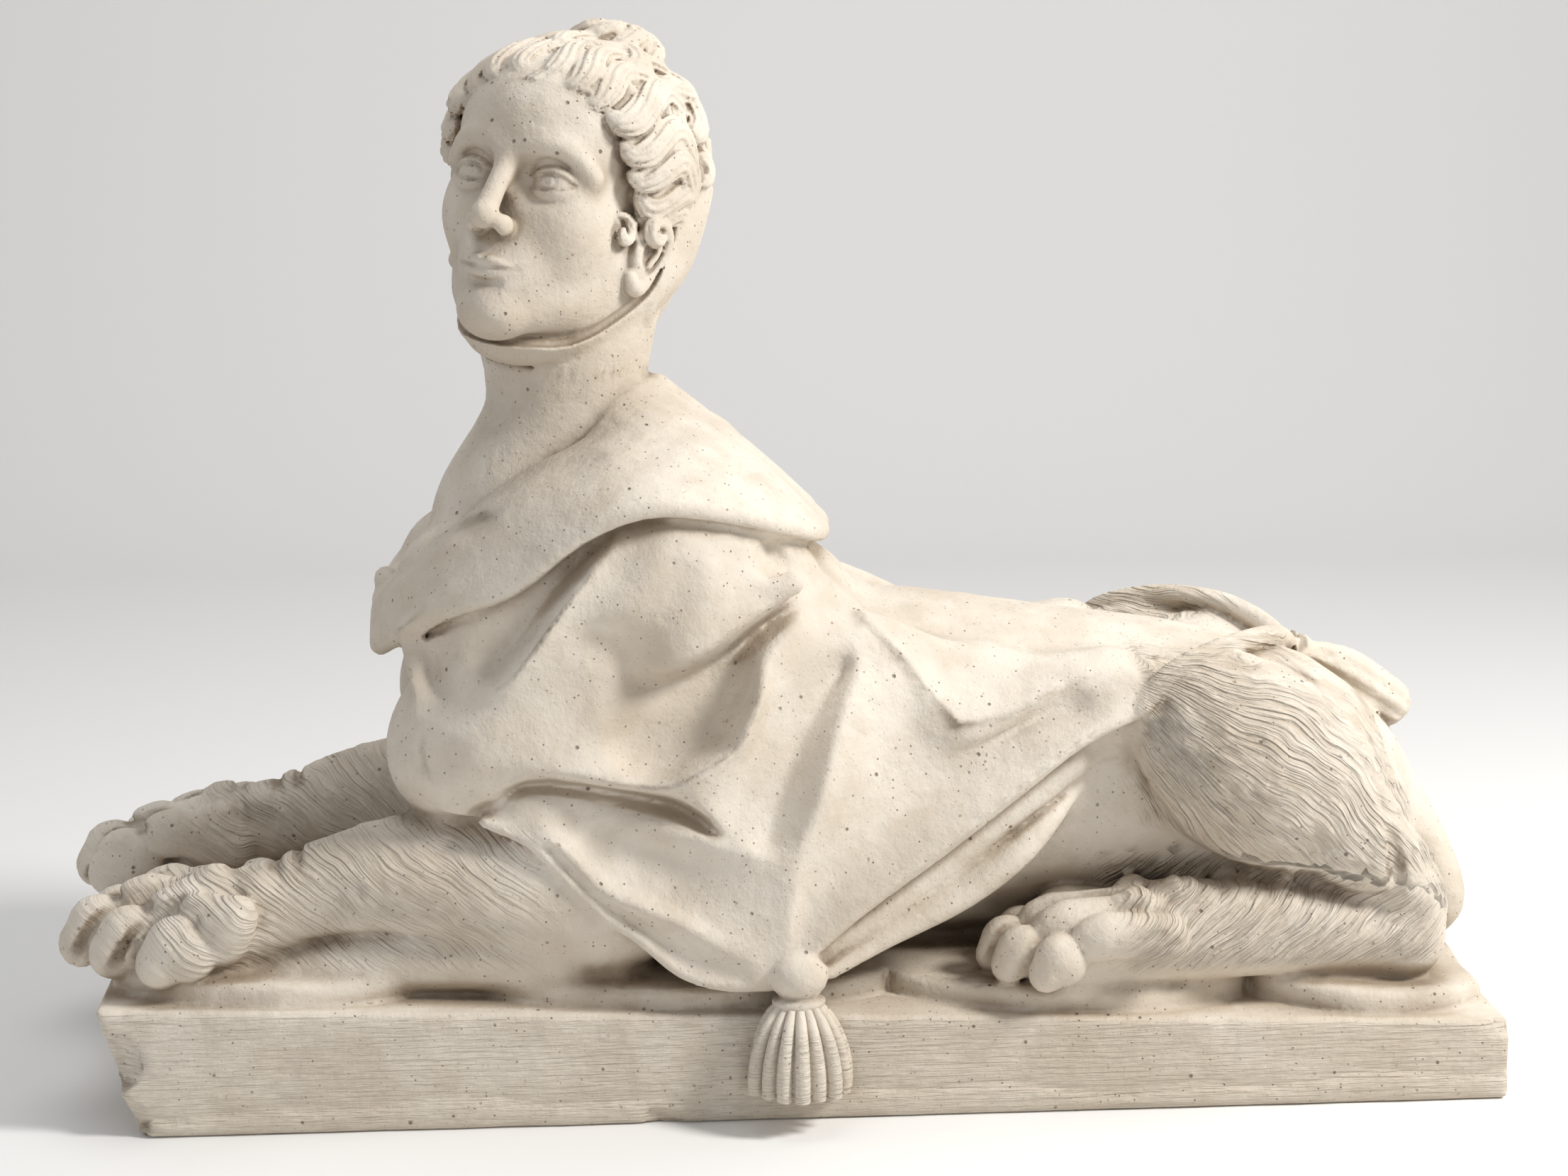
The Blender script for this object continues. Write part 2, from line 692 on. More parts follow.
# %% Breast and neck
def torso():
    add(ball([-175, 0, 315], [150, 140, 135]), 20)
    add(ball([-120, 0, 405], [115, 130, 85], pitched(22)), 50)
    add(ball([-222, 0, 432], [78, 95, 100]), 30)
    add(ball([-20, 0, 370], [74, 116, 66]), 14)
    add(ball([-306, 0, 394], [26, 30, 26]), 10)
    for side in (LEFT, RIGHT):
        add(ball([-271, side * 52, 402], [56, 53, 55]), 16)
    add(limb([[-150, 0, 440, 95], [-172, 0, 500, 68], [-184, -2, 560, 62],
              [-172, 0, 640, 62]]), 50)
    for n in range(4):
        a = n * pi / 2 + 0.6
        add(ball([-336, 14 * cos(a), 394 + 12 * sin(a)], [9, 11, 10]), 2)
    cut(limb([[-347, -10, 394, 2], [-347, 10, 396, 2]]), 3)


print("breast and neck")

# %% [markdown]
# ## The saddle cloth and the sleeves
# A cloth lies over the back, and its corners run together into a tassel on each flank. Limbs, balls
# and two gores fill the space under it first, so that no fold is left hanging over a hollow. The
# hems are limbs too: thin rolls along the edges.

# %% Filling under the cloth
def under_cloth(side):
    at = sided(side)
    apex, valley = at(42, 118, 382), at(110, 150, 297)
    back, haunch = at(150, 96, 334), at(258, 138, 322)
    tube(side, [(-150, 80, 300, 85), (-50, 100, 285, 70), (50, 85, 285, 70)], 20)
    tube(side, [(-200, 100, 240, 65), (-100, 125, 210, 60), (-30, 140, 170, 40)], 30)
    tube(side, [(52, 88, 348, 30), (66, 104, 290, 46), (24, 134, 222, 48), (-8, 160, 165, 36)], 24)
    tube(side, [(120, 96, 285, 48), (190, 104, 300, 44), (245, 104, 315, 42)], 24)
    tube(side, [(-215, 134, 214, 44), (-120, 144, 178, 46), (-50, 160, 150, 36)], 24)
    add(gore(apex, valley, back, 10), 30)
    add(gore(valley, back, haunch, 10), 30)
    add(ball(at(-92, 106, 412), [74, 70, 66], pitched(-20)), 12)
    tube(side, [(-110, 100, 395, 62), (-175, 108, 345, 64), (-262, 118, 305, 62)], 12)
    add(ball(at(-225, 90, 380), [85, 70, 66]), 12)
    add(ball(at(-278, 122, 285), [54, 60, 54]), 16)


def hems(side):
    """The hem to the rump, the strip below it and the hem to the elbow, with clay behind them."""
    tube(side, [(-15, 203, 130, 6), (36, 199, 172, 6), (98, 189, 214, 6), (161, 178, 259, 6),
                (212, 168, 295, 6), (266, 156, 317, 5)], 3)
    tube(side, [(-8, 176, 128, 24), (46, 166, 162, 22), (108, 152, 202, 20), (166, 142, 244, 20),
                (205, 134, 272, 18)], 8)
    tube(side, [(12, 202, 122, 6), (56, 184, 143, 9), (120, 168, 172, 12), (171, 157, 208, 12),
                (218, 132, 250, 5)], 4)
    tube(side, [(20, 172, 128, 16), (80, 158, 158, 18), (150, 142, 198, 18)], 8)
    tube(side, [(x, y - 3, z, 5) for x, y, z in (
        (-255, 184, 243), (-225, 189, 230), (-208, 193, 216), (-188, 197, 194), (-161, 200, 168),
        (-138, 203, 153), (-105, 205, 125), (-73, 207, 114), (-36, 208, 113))], 2)


print("filling and hems")

# %% [markdown]
# The side of the cloth and the sleeve is drawn as a relief. Each line runs along a ridge, a valley
# or an edge, and says at every point how far out the cloth stands there. The rest is stretched
# between the lines like a wet cloth, which gives broad planes with crisp folds, and it is
# rounded off more the further it is from a sharp line.

# %% Lines of the relief
# each point: along the body, height, how far out
SHARP_LINES = {
    "sleeve_front": [(-149, 467, 182), (-170, 446, 193), (-188, 425, 198), (-205, 401, 199),
        (-223, 375, 197), (-235, 359, 193), (-250, 349, 189)],
    "sleeve_front_foot": [(-159, 463, 170), (-180, 439, 168), (-198, 418, 167), (-216, 394, 166),
        (-234, 371, 166), (-249, 355, 168)],
    "sleeve_rear": [(-69, 469, 174), (-48, 452, 164), (-51, 434, 168), (-42, 417, 168)],
    "nub_hollow": [(-29, 453, 134), (-31, 437, 138), (-6, 422, 132)],
    "sleeve_edge": [(-21, 414, 160), (-49, 400, 177), (-73, 383, 187), (-97, 371, 191),
        (-122, 362, 188)],
    "sleeve_edge_foot": [(-13, 400, 140), (-39, 384, 147), (-64, 365, 153), (-91, 350, 158),
        (-118, 343, 162), (-134, 347, 166)],
    "chest_groove": [(-294, 373, 143), (-292, 353, 146), (-285, 337, 160)],
    "long_ridge": [(-8, 391, 150), (-35, 371, 170), (-42, 345, 188), (-52, 318, 199),
        (-67, 301, 203), (-91, 287, 204), (-114, 274, 201), (-136, 274, 195), (-161, 288, 188)],
    "long_ridge_foot": [(44, 381, 134), (12, 366, 148), (-13, 342, 162), (-32, 323, 172),
        (-43, 298, 180), (-49, 272, 187), (-58, 246, 194), (-66, 231, 199)],
    "between_ridges": [(31, 354, 138), (7, 325, 157), (-13, 292, 173), (-23, 264, 184),
        (-34, 236, 193), (-43, 222, 200)],
    "second_ridge": [(41, 364, 142), (23, 322, 173), (12, 290, 192), (1, 254, 203),
        (-18, 214, 208)],
    "crease_lip": [(-266, 256, 184), (-245, 268, 188), (-220, 280, 192), (-189, 281, 195),
        (-148, 273, 196), (-113, 269, 198), (-92, 257, 200), (-72, 235, 203)],
    "crease": [(-264, 247, 174), (-243, 256, 172), (-225, 269, 174), (-189, 268, 173),
        (-154, 262, 173), (-124, 255, 174), (-100, 247, 177), (-81, 236, 187), (-68, 227, 198)],
    "strip_top": [(-214, 236, 192), (-190, 216, 199), (-164, 189, 203), (-132, 177, 207),
        (-105, 168, 209), (-82, 152, 210), (-58, 139, 210), (-37, 121, 210)],
    "strip_mid": [(-208, 225, 186), (-184, 201, 192), (-158, 177, 195), (-120, 151, 200),
        (-84, 133, 204), (-58, 122, 207)],
    "strip_low": [(-255, 243, 184), (-225, 230, 189), (-208, 216, 193), (-188, 194, 197),
        (-161, 168, 200), (-138, 153, 203), (-105, 125, 205), (-73, 114, 207), (-40, 113, 209)],
    "seam": [(-13, 206, 207), (-19, 173, 209), (-22, 136, 209)],
    "seam_rear": [(-8, 203, 201), (-13, 171, 204), (-16, 136, 207)],
    "back_edge": [(43, 386, 128), (72, 353, 140), (110, 299, 160), (153, 307, 156),
        (191, 330, 149), (229, 350, 138), (268, 366, 124)],
    "shoulder_turn": [(6, 456, 88), (22, 426, 90), (46, 398, 106)],
    "rear_edge": [(-10, 138, 208), (36, 176, 205), (98, 218, 196), (161, 263, 184),
        (212, 299, 173), (263, 320, 160)],
}
SOFT_LINES = {
    "under_collar": [(-331, 363, 126), (-312, 379, 138), (-276, 400, 154), (-228, 419, 165),
        (-205, 437, 172), (-175, 459, 176), (-146, 474, 178), (-116, 481, 179), (-87, 479, 175),
        (-41, 465, 158), (1, 440, 122)],
    "sleeve_crown": [(-102, 473, 184), (-117, 456, 196), (-129, 433, 200), (-141, 412, 201),
        (-165, 407, 200)],
    "sleeve_back": [(-88, 452, 193), (-79, 424, 191), (-94, 402, 195), (-112, 381, 194)],
    "sleeve_dent": [(-188, 392, 194), (-164, 385, 186), (-147, 378, 182), (-141, 359, 176)],
    "sleeve_low": [(-220, 364, 193), (-194, 370, 192), (-171, 369, 190), (-153, 358, 184)],
    "scoop": [(-54, 344, 156), (-84, 325, 162), (-117, 311, 166), (-147, 305, 170)],
    "scoop_low": [(-69, 310, 166), (-97, 293, 171), (-127, 283, 174), (-150, 292, 174)],
    "roll": [(-137, 343, 176), (-161, 327, 184), (-180, 307, 188), (-189, 295, 190)],
    "arm": [(-206, 331, 190), (-236, 328, 192), (-265, 317, 191), (-289, 312, 182)],
    "arm_low": [(-189, 289, 193), (-221, 296, 195), (-257, 290, 193), (-284, 276, 184)],
    "elbow_low": [(-236, 280, 190), (-263, 270, 186), (-281, 256, 178), (-299, 252, 168)],
    "chest_plane": [(-267, 391, 158), (-271, 371, 162), (-275, 351, 168), (-265, 336, 178)],
    "chest_side": [(-309, 368, 146), (-311, 349, 154), (-310, 326, 162), (-307, 303, 168),
        (-300, 280, 172)],
    "ridge_top": [(12, 412, 112), (25, 395, 122), (-1, 370, 152)],
    "flank": [(80, 310, 150), (60, 271, 168), (40, 232, 184), (12, 205, 196)],
    "lower_ridge": [(-253, 250, 184), (-225, 264, 187), (-195, 259, 184), (-166, 249, 184),
        (-142, 242, 191), (-119, 243, 198), (-90, 234, 202), (-60, 224, 206), (-22, 206, 208)],
    "lower_dip": [(-190, 239, 180), (-154, 224, 182), (-119, 214, 188), (-89, 204, 195)],
    "lower_plane": [(-178, 219, 186), (-143, 195, 192), (-102, 175, 200), (-57, 157, 206),
        (-28, 148, 209)],
    "lap": [(15, 176, 202), (45, 198, 196), (76, 218, 190)],
    "valley": [(218, 317, 140), (168, 299, 147), (105, 268, 158), (47, 228, 181), (5, 190, 197),
        (-8, 160, 203)],
}
CLOTH_OUTLINE = [(-322, 386), (-309, 335), (-306, 285), (-290, 250), (-255, 243), (-225, 230),
                 (-208, 215), (-188, 193), (-161, 167), (-138, 152), (-105, 124), (-73, 113),
                 (-40, 112), (-14, 124), (36, 172), (98, 214), (161, 259), (212, 295), (266, 317),
                 (268, 330), (258, 346), (229, 348), (191, 334), (153, 315), (116, 310), (74, 362),
                 (40, 396), (14, 420), (0, 446), (-41, 480), (-87, 498), (-146, 494), (-205, 458),
                 (-276, 424)]
print("lines of the relief:", len(SHARP_LINES), "sharp,", len(SOFT_LINES), "soft")

# %% [markdown]
# The heights between the lines are found by letting each point of a grid settle at the mean of
# its neighbours, over long steps first and short ones last. Then the ridges are rubbed a little,
# the planes between them much more, and the folds are made deeper than drawn, because stretching
# and rubbing flattens them.

# %% Stretch the relief
RELIEF_CELL, FOLD_DEPTH = 2.5, 1.55
RELIEF_X, RELIEF_Z = np.arange(-350, 330, RELIEF_CELL), np.arange(95, 515, RELIEF_CELL)


def drawn_points(lines):
    """Points every millimetre or so along the lines."""
    points = []
    for line in lines.values():
        line = smooth_line(line, 4)
        for a, b in zip(line[:-1], line[1:]):
            steps = max(2, int(np.linalg.norm(b - a)))
            points += [a + (b - a) * t for t in np.linspace(0, 1, steps)]
    return np.array(points)


def rubbed(height, times):
    """The heights smoothed with their neighbours so many times."""
    for _ in range(times):
        wide = np.pad(height, 1, mode="edge")
        height = (wide[:-2, 1:-1] + 2 * wide[1:-1, 1:-1] + wide[2:, 1:-1]) / 4
        wide = np.pad(height, 1, mode="edge")
        height = (wide[1:-1, :-2] + 2 * wide[1:-1, 1:-1] + wide[1:-1, 2:]) / 4
    return height


def relief():
    """How far out the cloth stands, for every point of the side view."""
    x, z = np.meshgrid(RELIEF_X, RELIEF_Z, indexing="ij")
    total, count = np.zeros(x.shape), np.zeros(x.shape)
    points = np.vstack([drawn_points(SHARP_LINES), drawn_points(SOFT_LINES)])
    i, k = (np.round((points[:, n] - low) / RELIEF_CELL).astype(int)
            for n, low in ((0, RELIEF_X[0]), (1, RELIEF_Z[0])))
    np.add.at(total, (i, k), points[:, 2])
    np.add.at(count, (i, k), 1)
    held = count > 0
    fixed = total / np.maximum(count, 1)
    height = np.where(held, fixed, fixed[held].mean())
    for size in (16, 8, 4, 2, 1):
        for _ in range(60):
            wide = np.pad(height, size, mode="edge")
            mean = (wide[2 * size:, size:-size] + wide[:-2 * size, size:-size]
                    + wide[size:-size, 2 * size:] + wide[size:-size, :-2 * size]) / 4
            height = np.where(held, fixed, mean)
    sharp = drawn_points(SHARP_LINES)[::3]
    near = np.full(x.shape, 1e9)
    for point in sharp:
        near = np.minimum(near, (x - point[0]) ** 2 + (z - point[1]) ** 2)
    share = ramp(3, 18, np.sqrt(near))
    height = rubbed(height, 3) * (1 - share) + rubbed(height, 16) * share
    broad = rubbed(height, 220)
    return broad + (height - broad) * FOLD_DEPTH


RELIEF = relief()
SLOPE = np.sqrt(1 + sum(g ** 2 for g in np.gradient(RELIEF, RELIEF_CELL)))
print("relief", RELIEF.shape, round(RELIEF.min()), "to", round(RELIEF.max()))

# %% [markdown]
# The cloth becomes a mass like the others: its distance is how far a point stands out from the
# relief, divided by the slope there, and it ends at its outline. What stands out further is cut
# away first, so the relief is the skin wherever there is cloth.

# %% Lay the cloth
def outline_gap():
    """Distance to the outline of the cloth in the side view, negative inside."""
    x, z = np.meshgrid(RELIEF_X, RELIEF_Z, indexing="ij")
    gap, inside = np.full(x.shape, 1e9), np.zeros(x.shape, bool)
    corners = np.array(CLOTH_OUTLINE, float)
    for a, b in zip(corners, np.roll(corners, -1, 0)):
        u = b - a
        t = np.clip(((x - a[0]) * u[0] + (z - a[1]) * u[1]) / (u @ u), 0, 1)
        gap = np.minimum(gap, np.hypot(x - a[0] - t * u[0], z - a[1] - t * u[1]))
        crosses = (a[1] > z) != (b[1] > z)
        at_x = a[0] + (z - a[1]) * u[0] / (u[1] if u[1] else 1e-9)
        inside ^= crosses & (x < at_x)
    return np.where(inside, -gap, gap)


CLOTH_GAP = outline_gap()


def looked_up(grid, x, z):
    """A grid's value between its points."""
    u = np.clip((x - RELIEF_X[0]) / RELIEF_CELL, 0, grid.shape[0] - 1.001)
    v = np.clip((z - RELIEF_Z[0]) / RELIEF_CELL, 0, grid.shape[1] - 1.001)
    i, k = u.astype(int), v.astype(int)
    u, v = u - i, v - k
    return ((grid[i, k] * (1 - u) + grid[i + 1, k] * u) * (1 - v)
            + (grid[i, k + 1] * (1 - u) + grid[i + 1, k + 1] * u) * v)


def cloth_side(side):
    """Clears what stands outside the relief, then lays the cloth in its place."""
    def gaps(p):
        x, y, z = p.T
        out = (y * side - looked_up(RELIEF, x, z)) / looked_up(SLOPE, x, z)
        return out, looked_up(CLOTH_GAP, x, z)

    def outside(p):
        out, edge = gaps(p)
        return np.maximum(-out, edge + 3)

    def cloth(p):
        out, edge = gaps(p)
        return np.maximum(rounded([out, edge], 3), -out - 34)

    near, wide = [-345, side * 60, 100], [300, side * 216, 505]
    low, high = np.minimum(near, wide), np.maximum(near, wide)
    cut(Mass(outside, low, high + (0, 20 * (side > 0), 0)), 5)
    add(Mass(cloth, low, high), 5)
    # the lump where the sleeve is gathered
    tube(side, [(-50, 160, 424, 11), (-34, 161, 418, 10), (-16, 158, 422, 10)], 6)


print("points under the cloth", int((CLOTH_GAP < 0).sum()))

# %% [markdown]
# The shawl collar lies thick and rolled round the shoulders. Cloth simulation would let it hang
# thin, so it is a sheet through rows of three points: its inner edge, the crest of its roll and
# its hem, from the knot round to the middle of the back. Clay under it gives it its weight, and a
# narrow cut below the hem its shadow.

# %% The collar
COLLAR_ROWS = [
    [[-334, 8, 392], [-338, 30, 382], [-338, 60, 360]],
    [[-312, 44, 412], [-326, 80, 400], [-318, 112, 380]],
    [[-284, 76, 438], [-296, 116, 428], [-280, 150, 405]],
    [[-248, 92, 474], [-252, 138, 460], [-230, 174, 426]],
    [[-208, 88, 500], [-202, 146, 490], [-176, 187, 468]],
    [[-168, 78, 520], [-154, 142, 514], [-130, 191, 487]],
    [[-140, 54, 548], [-98, 124, 519], [-83, 182, 484]],
    [[-120, 26, 558], [-54, 85, 506], [-30, 150, 468]],
    [[-114, 10, 558], [-33, 45, 494], [9, 96, 452]],
    [[-112, -2, 558], [-28, -2, 490], [18, -2, 445]],
]


COLLAR_THICK, HEM_RADIUS, DENT_DEPTH = 9, 6.5, 5.5
# the clay under the collar and the shadow line under its hem: radii from the knot to the back
COLLAR_FILLING = (6, 12, 18, 22, 24, 24, 24, 24, 24, 24)
HEM_SHADOW = (2.0, 2.6, 3.4) + (4.0,) * 6
# dents: middle, half length, half width
DENTS = ((-182, 152, 512, 40, 13), (-112, 146, 528, 44, 13), (-258, 128, 466, 34, 10),
         (-40, 112, 506, 34, 12))


def collar(side):
    rows = [[[x, side * y, z] for x, y, z in row] for row in COLLAR_ROWS]
    add(sheet(rows, COLLAR_THICK), 8)
    add(limb([[*row[2], HEM_RADIUS] for row in rows], 3), 3)
    # the shawl is thick, so there is clay under it right up to the neck
    inner = [[*((np.array(row[0]) * 0.55 + np.array(row[1]) * 0.45) - (-6, side * 20, 22)), r]
             for row, r in zip(rows, COLLAR_FILLING)]
    add(limb(inner, 2), 6)
    under = [[row[2][0], row[2][1] + side * 1.5, row[2][2] - 12, r]
             for row, r in zip(rows[1:], HEM_SHADOW)]
    cut(limb(under, 3), 5)
    for x, y, z, long, wide in DENTS:
        spot = np.array((x, side * y, z), float)

        def dent(q, spot=spot, long=long, wide=wide):
            v = (q - spot) @ pitched(-24).T
            far = np.sqrt((v[:, 0] / long) ** 2 + (v[:, 2] / wide) ** 2 + (v[:, 1] / 60) ** 2)
            return -DENT_DEPTH * ramp(1, 0, far)

        press(dent, spot - 70, spot + 70)


print("collar rows:", len(COLLAR_ROWS))

# %% [markdown]
# ## The head
# The head has axes of its own: x out through the face, y towards its left ear and z to the crown.
# So the face can be built square and upright, and the head is turned, tilted back and leant over
# as a whole. The face is a plain, calm one on schoolbook proportions: the eyes half way down, the
# nose and the mouth on even thirds below the brow.

# %% The head's own axes
HEAD_PLACE = np.array([-188.0, -8, 714])
HEAD_SCALE = 1.11
HEAD_TURN, HEAD_TILT, HEAD_LEAN = 241, 14, 6


def head_axes():
    turn, tilt, lean = radians(HEAD_TURN), radians(HEAD_TILT), radians(HEAD_LEAN)
    face = np.array([cos(turn) * cos(tilt), sin(turn) * cos(tilt), sin(tilt)])
    level = np.cross((0, 0, 1), face)
    level /= np.linalg.norm(level)
    upright = np.cross(face, level)
    return np.stack([face, level * cos(lean) - upright * sin(lean),
                     upright * cos(lean) + level * sin(lean)])


HEAD_AXES = head_axes()


def on_head(p):
    return HEAD_PLACE + (np.array(p[:3], float) * HEAD_SCALE) @ HEAD_AXES


def to_head(p):
    return ((p - HEAD_PLACE) @ HEAD_AXES.T) / HEAD_SCALE


def head_box(low, high):
    corners = np.array([on_head((x, y, z)) for x in (low[0], high[0]) for y in (low[1], high[1])
                        for z in (low[2], high[2])])
    return corners.min(0), corners.max(0)


def head_ball(centre, radii, blend, how=add):
    how(ball(on_head(centre), np.array(radii) * HEAD_SCALE, HEAD_AXES), blend)


def head_limb(points, blend, how=add, **style):
    if "out" in style:
        style["out"] = on_head(style["out"])
    how(limb([[*on_head(p), p[3] * HEAD_SCALE] for p in points], **style), blend)


def head_mass(far, low, high, blend, how=add):
    how(Mass(lambda p: far(to_head(p)) * HEAD_SCALE, *head_box(low, high)), blend)


def head_line(points, depth, width, steps=5):
    """A fine line cut into the head, or a welt on it where depth is less than 0."""
    line = smooth_line(points, steps)

    def rise(p):
        q = to_head(p)
        best = np.full(len(q), 1e9)
        for a, b in zip(line[:-1], line[1:]):
            u, v = b - a, q - a
            t = np.clip(v @ u / (u @ u), 0, 1)
            best = np.minimum(best, np.sqrt(((v - t[:, None] * u) ** 2).sum(1)))
        return -depth * np.clip(1 - best / width, 0, 1) ** 1.5

    press(rise, *head_box(line.min(0) - width, line.max(0) + width))


print("head axes", HEAD_AXES.round(2).tolist())

# %% [markdown]
# Skull, jaw and cheeks come first, because the planes between them make a head look right from
# afar. Then the hollows of the eyes are sunk, and the ridge and the wings of the nose put on.

# %% Skull and nose
EYE_OUT, MOUTH, CHIN = 30.5, -66, -97


def skull():
    head_ball((-12, 0, 27), (96, 74, 72), 20)
    head_ball((20, 0, -27), (61, 57, 76), 20)
    head_ball((35, 0, 42), (48, 59, 48), 30)
    for s in (1, -1):
        head_limb([(-5, s * 51, -40, 17), (28, s * 37, -75, 17), (60, s * 11, CHIN + 3, 16)], 26)
        head_ball((46, s * 36, -25), (27, 25, 28), 28)
    head_ball((68, 0, CHIN + 1), (17, 18, 15), 18)
    head_limb([(-20, 0, -20, 58), (-30, 0, -90, 56)], 30)
    head_ball((66, 0, -62), (20, 27, 20), 22)


def brow_and_nose():
    for s in (1, -1):
        head_limb([(80, s * 9, 16, 6), (80, s * 24, 23, 6), (72, s * 44, 20, 5),
                   (60, s * 57, 8, 4)], 14)
        head_ball((85, s * 29.5, -2), (15, 21, 14), 12, cut)
        head_ball((84, s * 14, -2), (9, 8, 10), 8, cut)
    head_limb([(78, 0, 16, 8), (86, 0, 2, 7.5), (94, 0, -16, 7.5), (100, 0, -31, 8.5)], 9)
    head_ball((101.5, 0, -35), (9.5, 9.5, 8.5), 5)
    for s in (1, -1):
        head_ball((91, s * 11, -38), (10, 6.5, 7.5), 5)
        head_ball((95, s * 6.5, -46), (6.5, 3.4, 4.2), 3, cut)


print("skull, brow, nose")

# %% [markdown]
# An eye is a ball under two lids, and a lid is a slightly bigger shell cut off along a curved
# edge. The ring of the iris and the pupil are sunk a little, as sculptors do to give a gaze.

# %% Eyes
def lid(centre, radius, s, upper):
    """A shell round the ball of the eye, kept only above or below a slanted edge."""
    def far(q):
        d = np.sqrt((((q - centre) / (1, 1.06, 1)) ** 2).sum(1))
        front = np.clip((q[:, 0] - centre[0] - 4) / 11.5, -1, 1.1)
        edge = (centre[2] + 0.4 + (6.6 if upper else -5.6) * front
                + 0.9 * (q[:, 1] - centre[1]) * s / 16)
        past = edge - q[:, 2] if upper else q[:, 2] - edge
        return np.maximum(np.maximum(d - radius - 2.6, past * 0.8), radius - 3 - d)

    head_mass(far, centre - 20, centre + 20, 1.0)


def eye(s):
    centre, radius = np.array([61.5, s * EYE_OUT, -3.0]), 16.5
    head_ball(centre, (radius, radius + 1, radius - 0.5), 1.5)
    lid(centre, radius, s, True)
    lid(centre, radius, s, False)
    head_line([(72, s * 15, 3), (78, s * 22, 11), (78, s * 32, 13.5), (70, s * 43, 9.5),
               (64, s * 48, 3)], 1.6, 2.4)

    def gaze(p):
        q = to_head(p)
        r = np.hypot(q[:, 1] - centre[1] + s * 0.5, q[:, 2] - centre[2] - 1.2)
        ring = -1.1 * np.clip(1 - np.abs(r - 6.6) / 1.7, 0, 1)
        pupil = -1.6 * np.clip(1.15 - r / 3.0, 0, 1)
        return np.where(q[:, 0] > centre[0] + 10, ring + pupil, 0)

    press(gaze, *head_box(centre + (5, -9, -9), centre + (20, 9, 9)))
    head_line([(84, s * 10, 17), (84, s * 22, 24.5), (77, s * 38, 26), (66, s * 52, 19)], -1.2, 4)


print("eyes", EYE_OUT, "either side of the middle")

# %% [markdown]
# The lips are two limbs with a line cut between them. An ear is a flat ball with a rim laid round
# it, a hollow pressed into it and a lobe at its foot; most of it hides under hair and band.

# %% Lips and ears
def lips():
    upper = [(77, 23, MOUTH - 0.5, 1.5), (84, 14, MOUTH + 1.2, 3.0), (88, 5, MOUTH + 3.2, 3.9)]
    lower = [(78, 20, MOUTH - 2, 1.5), (83.5, 9, MOUTH - 5.2, 4.0)]
    head_limb(upper + [(87.5, 0, MOUTH + 2.6, 3.6)] + [(x, -y, z, r) for x, y, z, r in upper[::-1]],
              3)
    head_limb(lower + [(84.5, 0, MOUTH - 5.8, 4.5)] + [(x, -y, z, r) for x, y, z, r in lower[::-1]],
              3)
    head_line([(79, -25, MOUTH - 0.3), (87, -12, MOUTH - 1.2), (92, 0, MOUTH - 1.6),
               (87, 12, MOUTH - 1.2), (79, 25, MOUTH - 0.3)], 2.4, 2.6)
    head_line([(94, 0, -50), (90, 0, -58)], 1.6, 4)
    head_line([(84, -9, -78.5), (84, 9, -78.5)], 3.0, 8)


def ear(s):
    def at(x, y, z, *rest):
        return (x + 11, s * (y + 1), z - 10, *rest)
    head_ball(at(-15, 71, -22), (15, 7, 23), 3)
    head_limb([at(-2, 71, -14, 3), at(-6, 77, -4, 4.4), at(-16, 81, 1, 4.4), at(-26, 83, -7, 4.4),
               at(-28, 81, -21, 4.2), at(-22, 77, -36, 4.6), at(-10, 73, -48, 7),
               at(-3, 70, -41, 5)], 2)
    head_ball(at(-12, 81, -24), (7.5, 7, 11), 2, cut)
    head_limb([at(-19, 80, -9, 2.6), at(-20, 80, -20, 2.6), at(-14, 78, -31, 2.4)], 2)
    head_limb([at(-3, 72, -22, 3), at(-4, 73, -30, 3.2)], 2)


def face():
    skull()
    brow_and_nose()
    for s in (1, -1):
        eye(s)
        ear(s)
    lips()


print("face")

# %% [markdown]
# ## Hair
# The hair is swept back from the face in thick waves to a knot on the crown. The first layer is a
# cap with strands combed into it: around the crown the angle says which strand a point is on, and
# a slow wave bends them all.

# %% The combed cap
SKULL = np.array((-16.0, 0, 34))
SKULL_SIZE = np.array((97.0, 83, 67))
BUN = np.array((-26.0, 6, 109))


def on_skull(direction, lift):
    d = np.array(direction, float)
    d /= np.linalg.norm(d)
    return SKULL + d * (1 / np.sqrt(((d / SKULL_SIZE) ** 2).sum()) + lift)


def hairline(y, z):
    """How far forward the hair comes at a height and distance from the middle of the face."""
    side = np.clip(np.abs(y) / 74, 0, 1.2)
    return np.interp(z, (-60, -38, -22, 0, 24, 46, 62, 74), (-50, -22, 8, 22, 34, 50, 62, 110)) \
        - 6 * side + 2.5 * np.sin(z * 0.33) * ramp(70, 55, z)


def combed_cap():
    """The first layer of hair, from the hairline to the knot."""
    def far(q):
        d = egg_gap(q - SKULL, SKULL_SIZE)
        v = q - (BUN - (0, 0, 40))
        along = np.sqrt((v ** 2).sum(1))
        around = np.arctan2(v[:, 1], v[:, 0])
        bend = around + 0.16 * np.sin(along * 0.125 + 2.2 * np.sin(around * 3))
        strands = np.abs(np.sin(bend * 34)) ** 0.8
        clumps = 0.5 + 0.5 * np.cos(bend * 13 + 1.4 * np.sin(along * 0.05))
        d = d - 4 - 4 * clumps - 2.4 * strands - 2 * np.sin(along * 0.125 + around * 5)
        return np.maximum(d * 0.75, (q[:, 0] - hairline(q[:, 1], q[:, 2])) * 0.8)

    head_mass(far, (-130, -96, -62), (84, 96, 136), 2)


print("combed cap round", BUN.tolist())

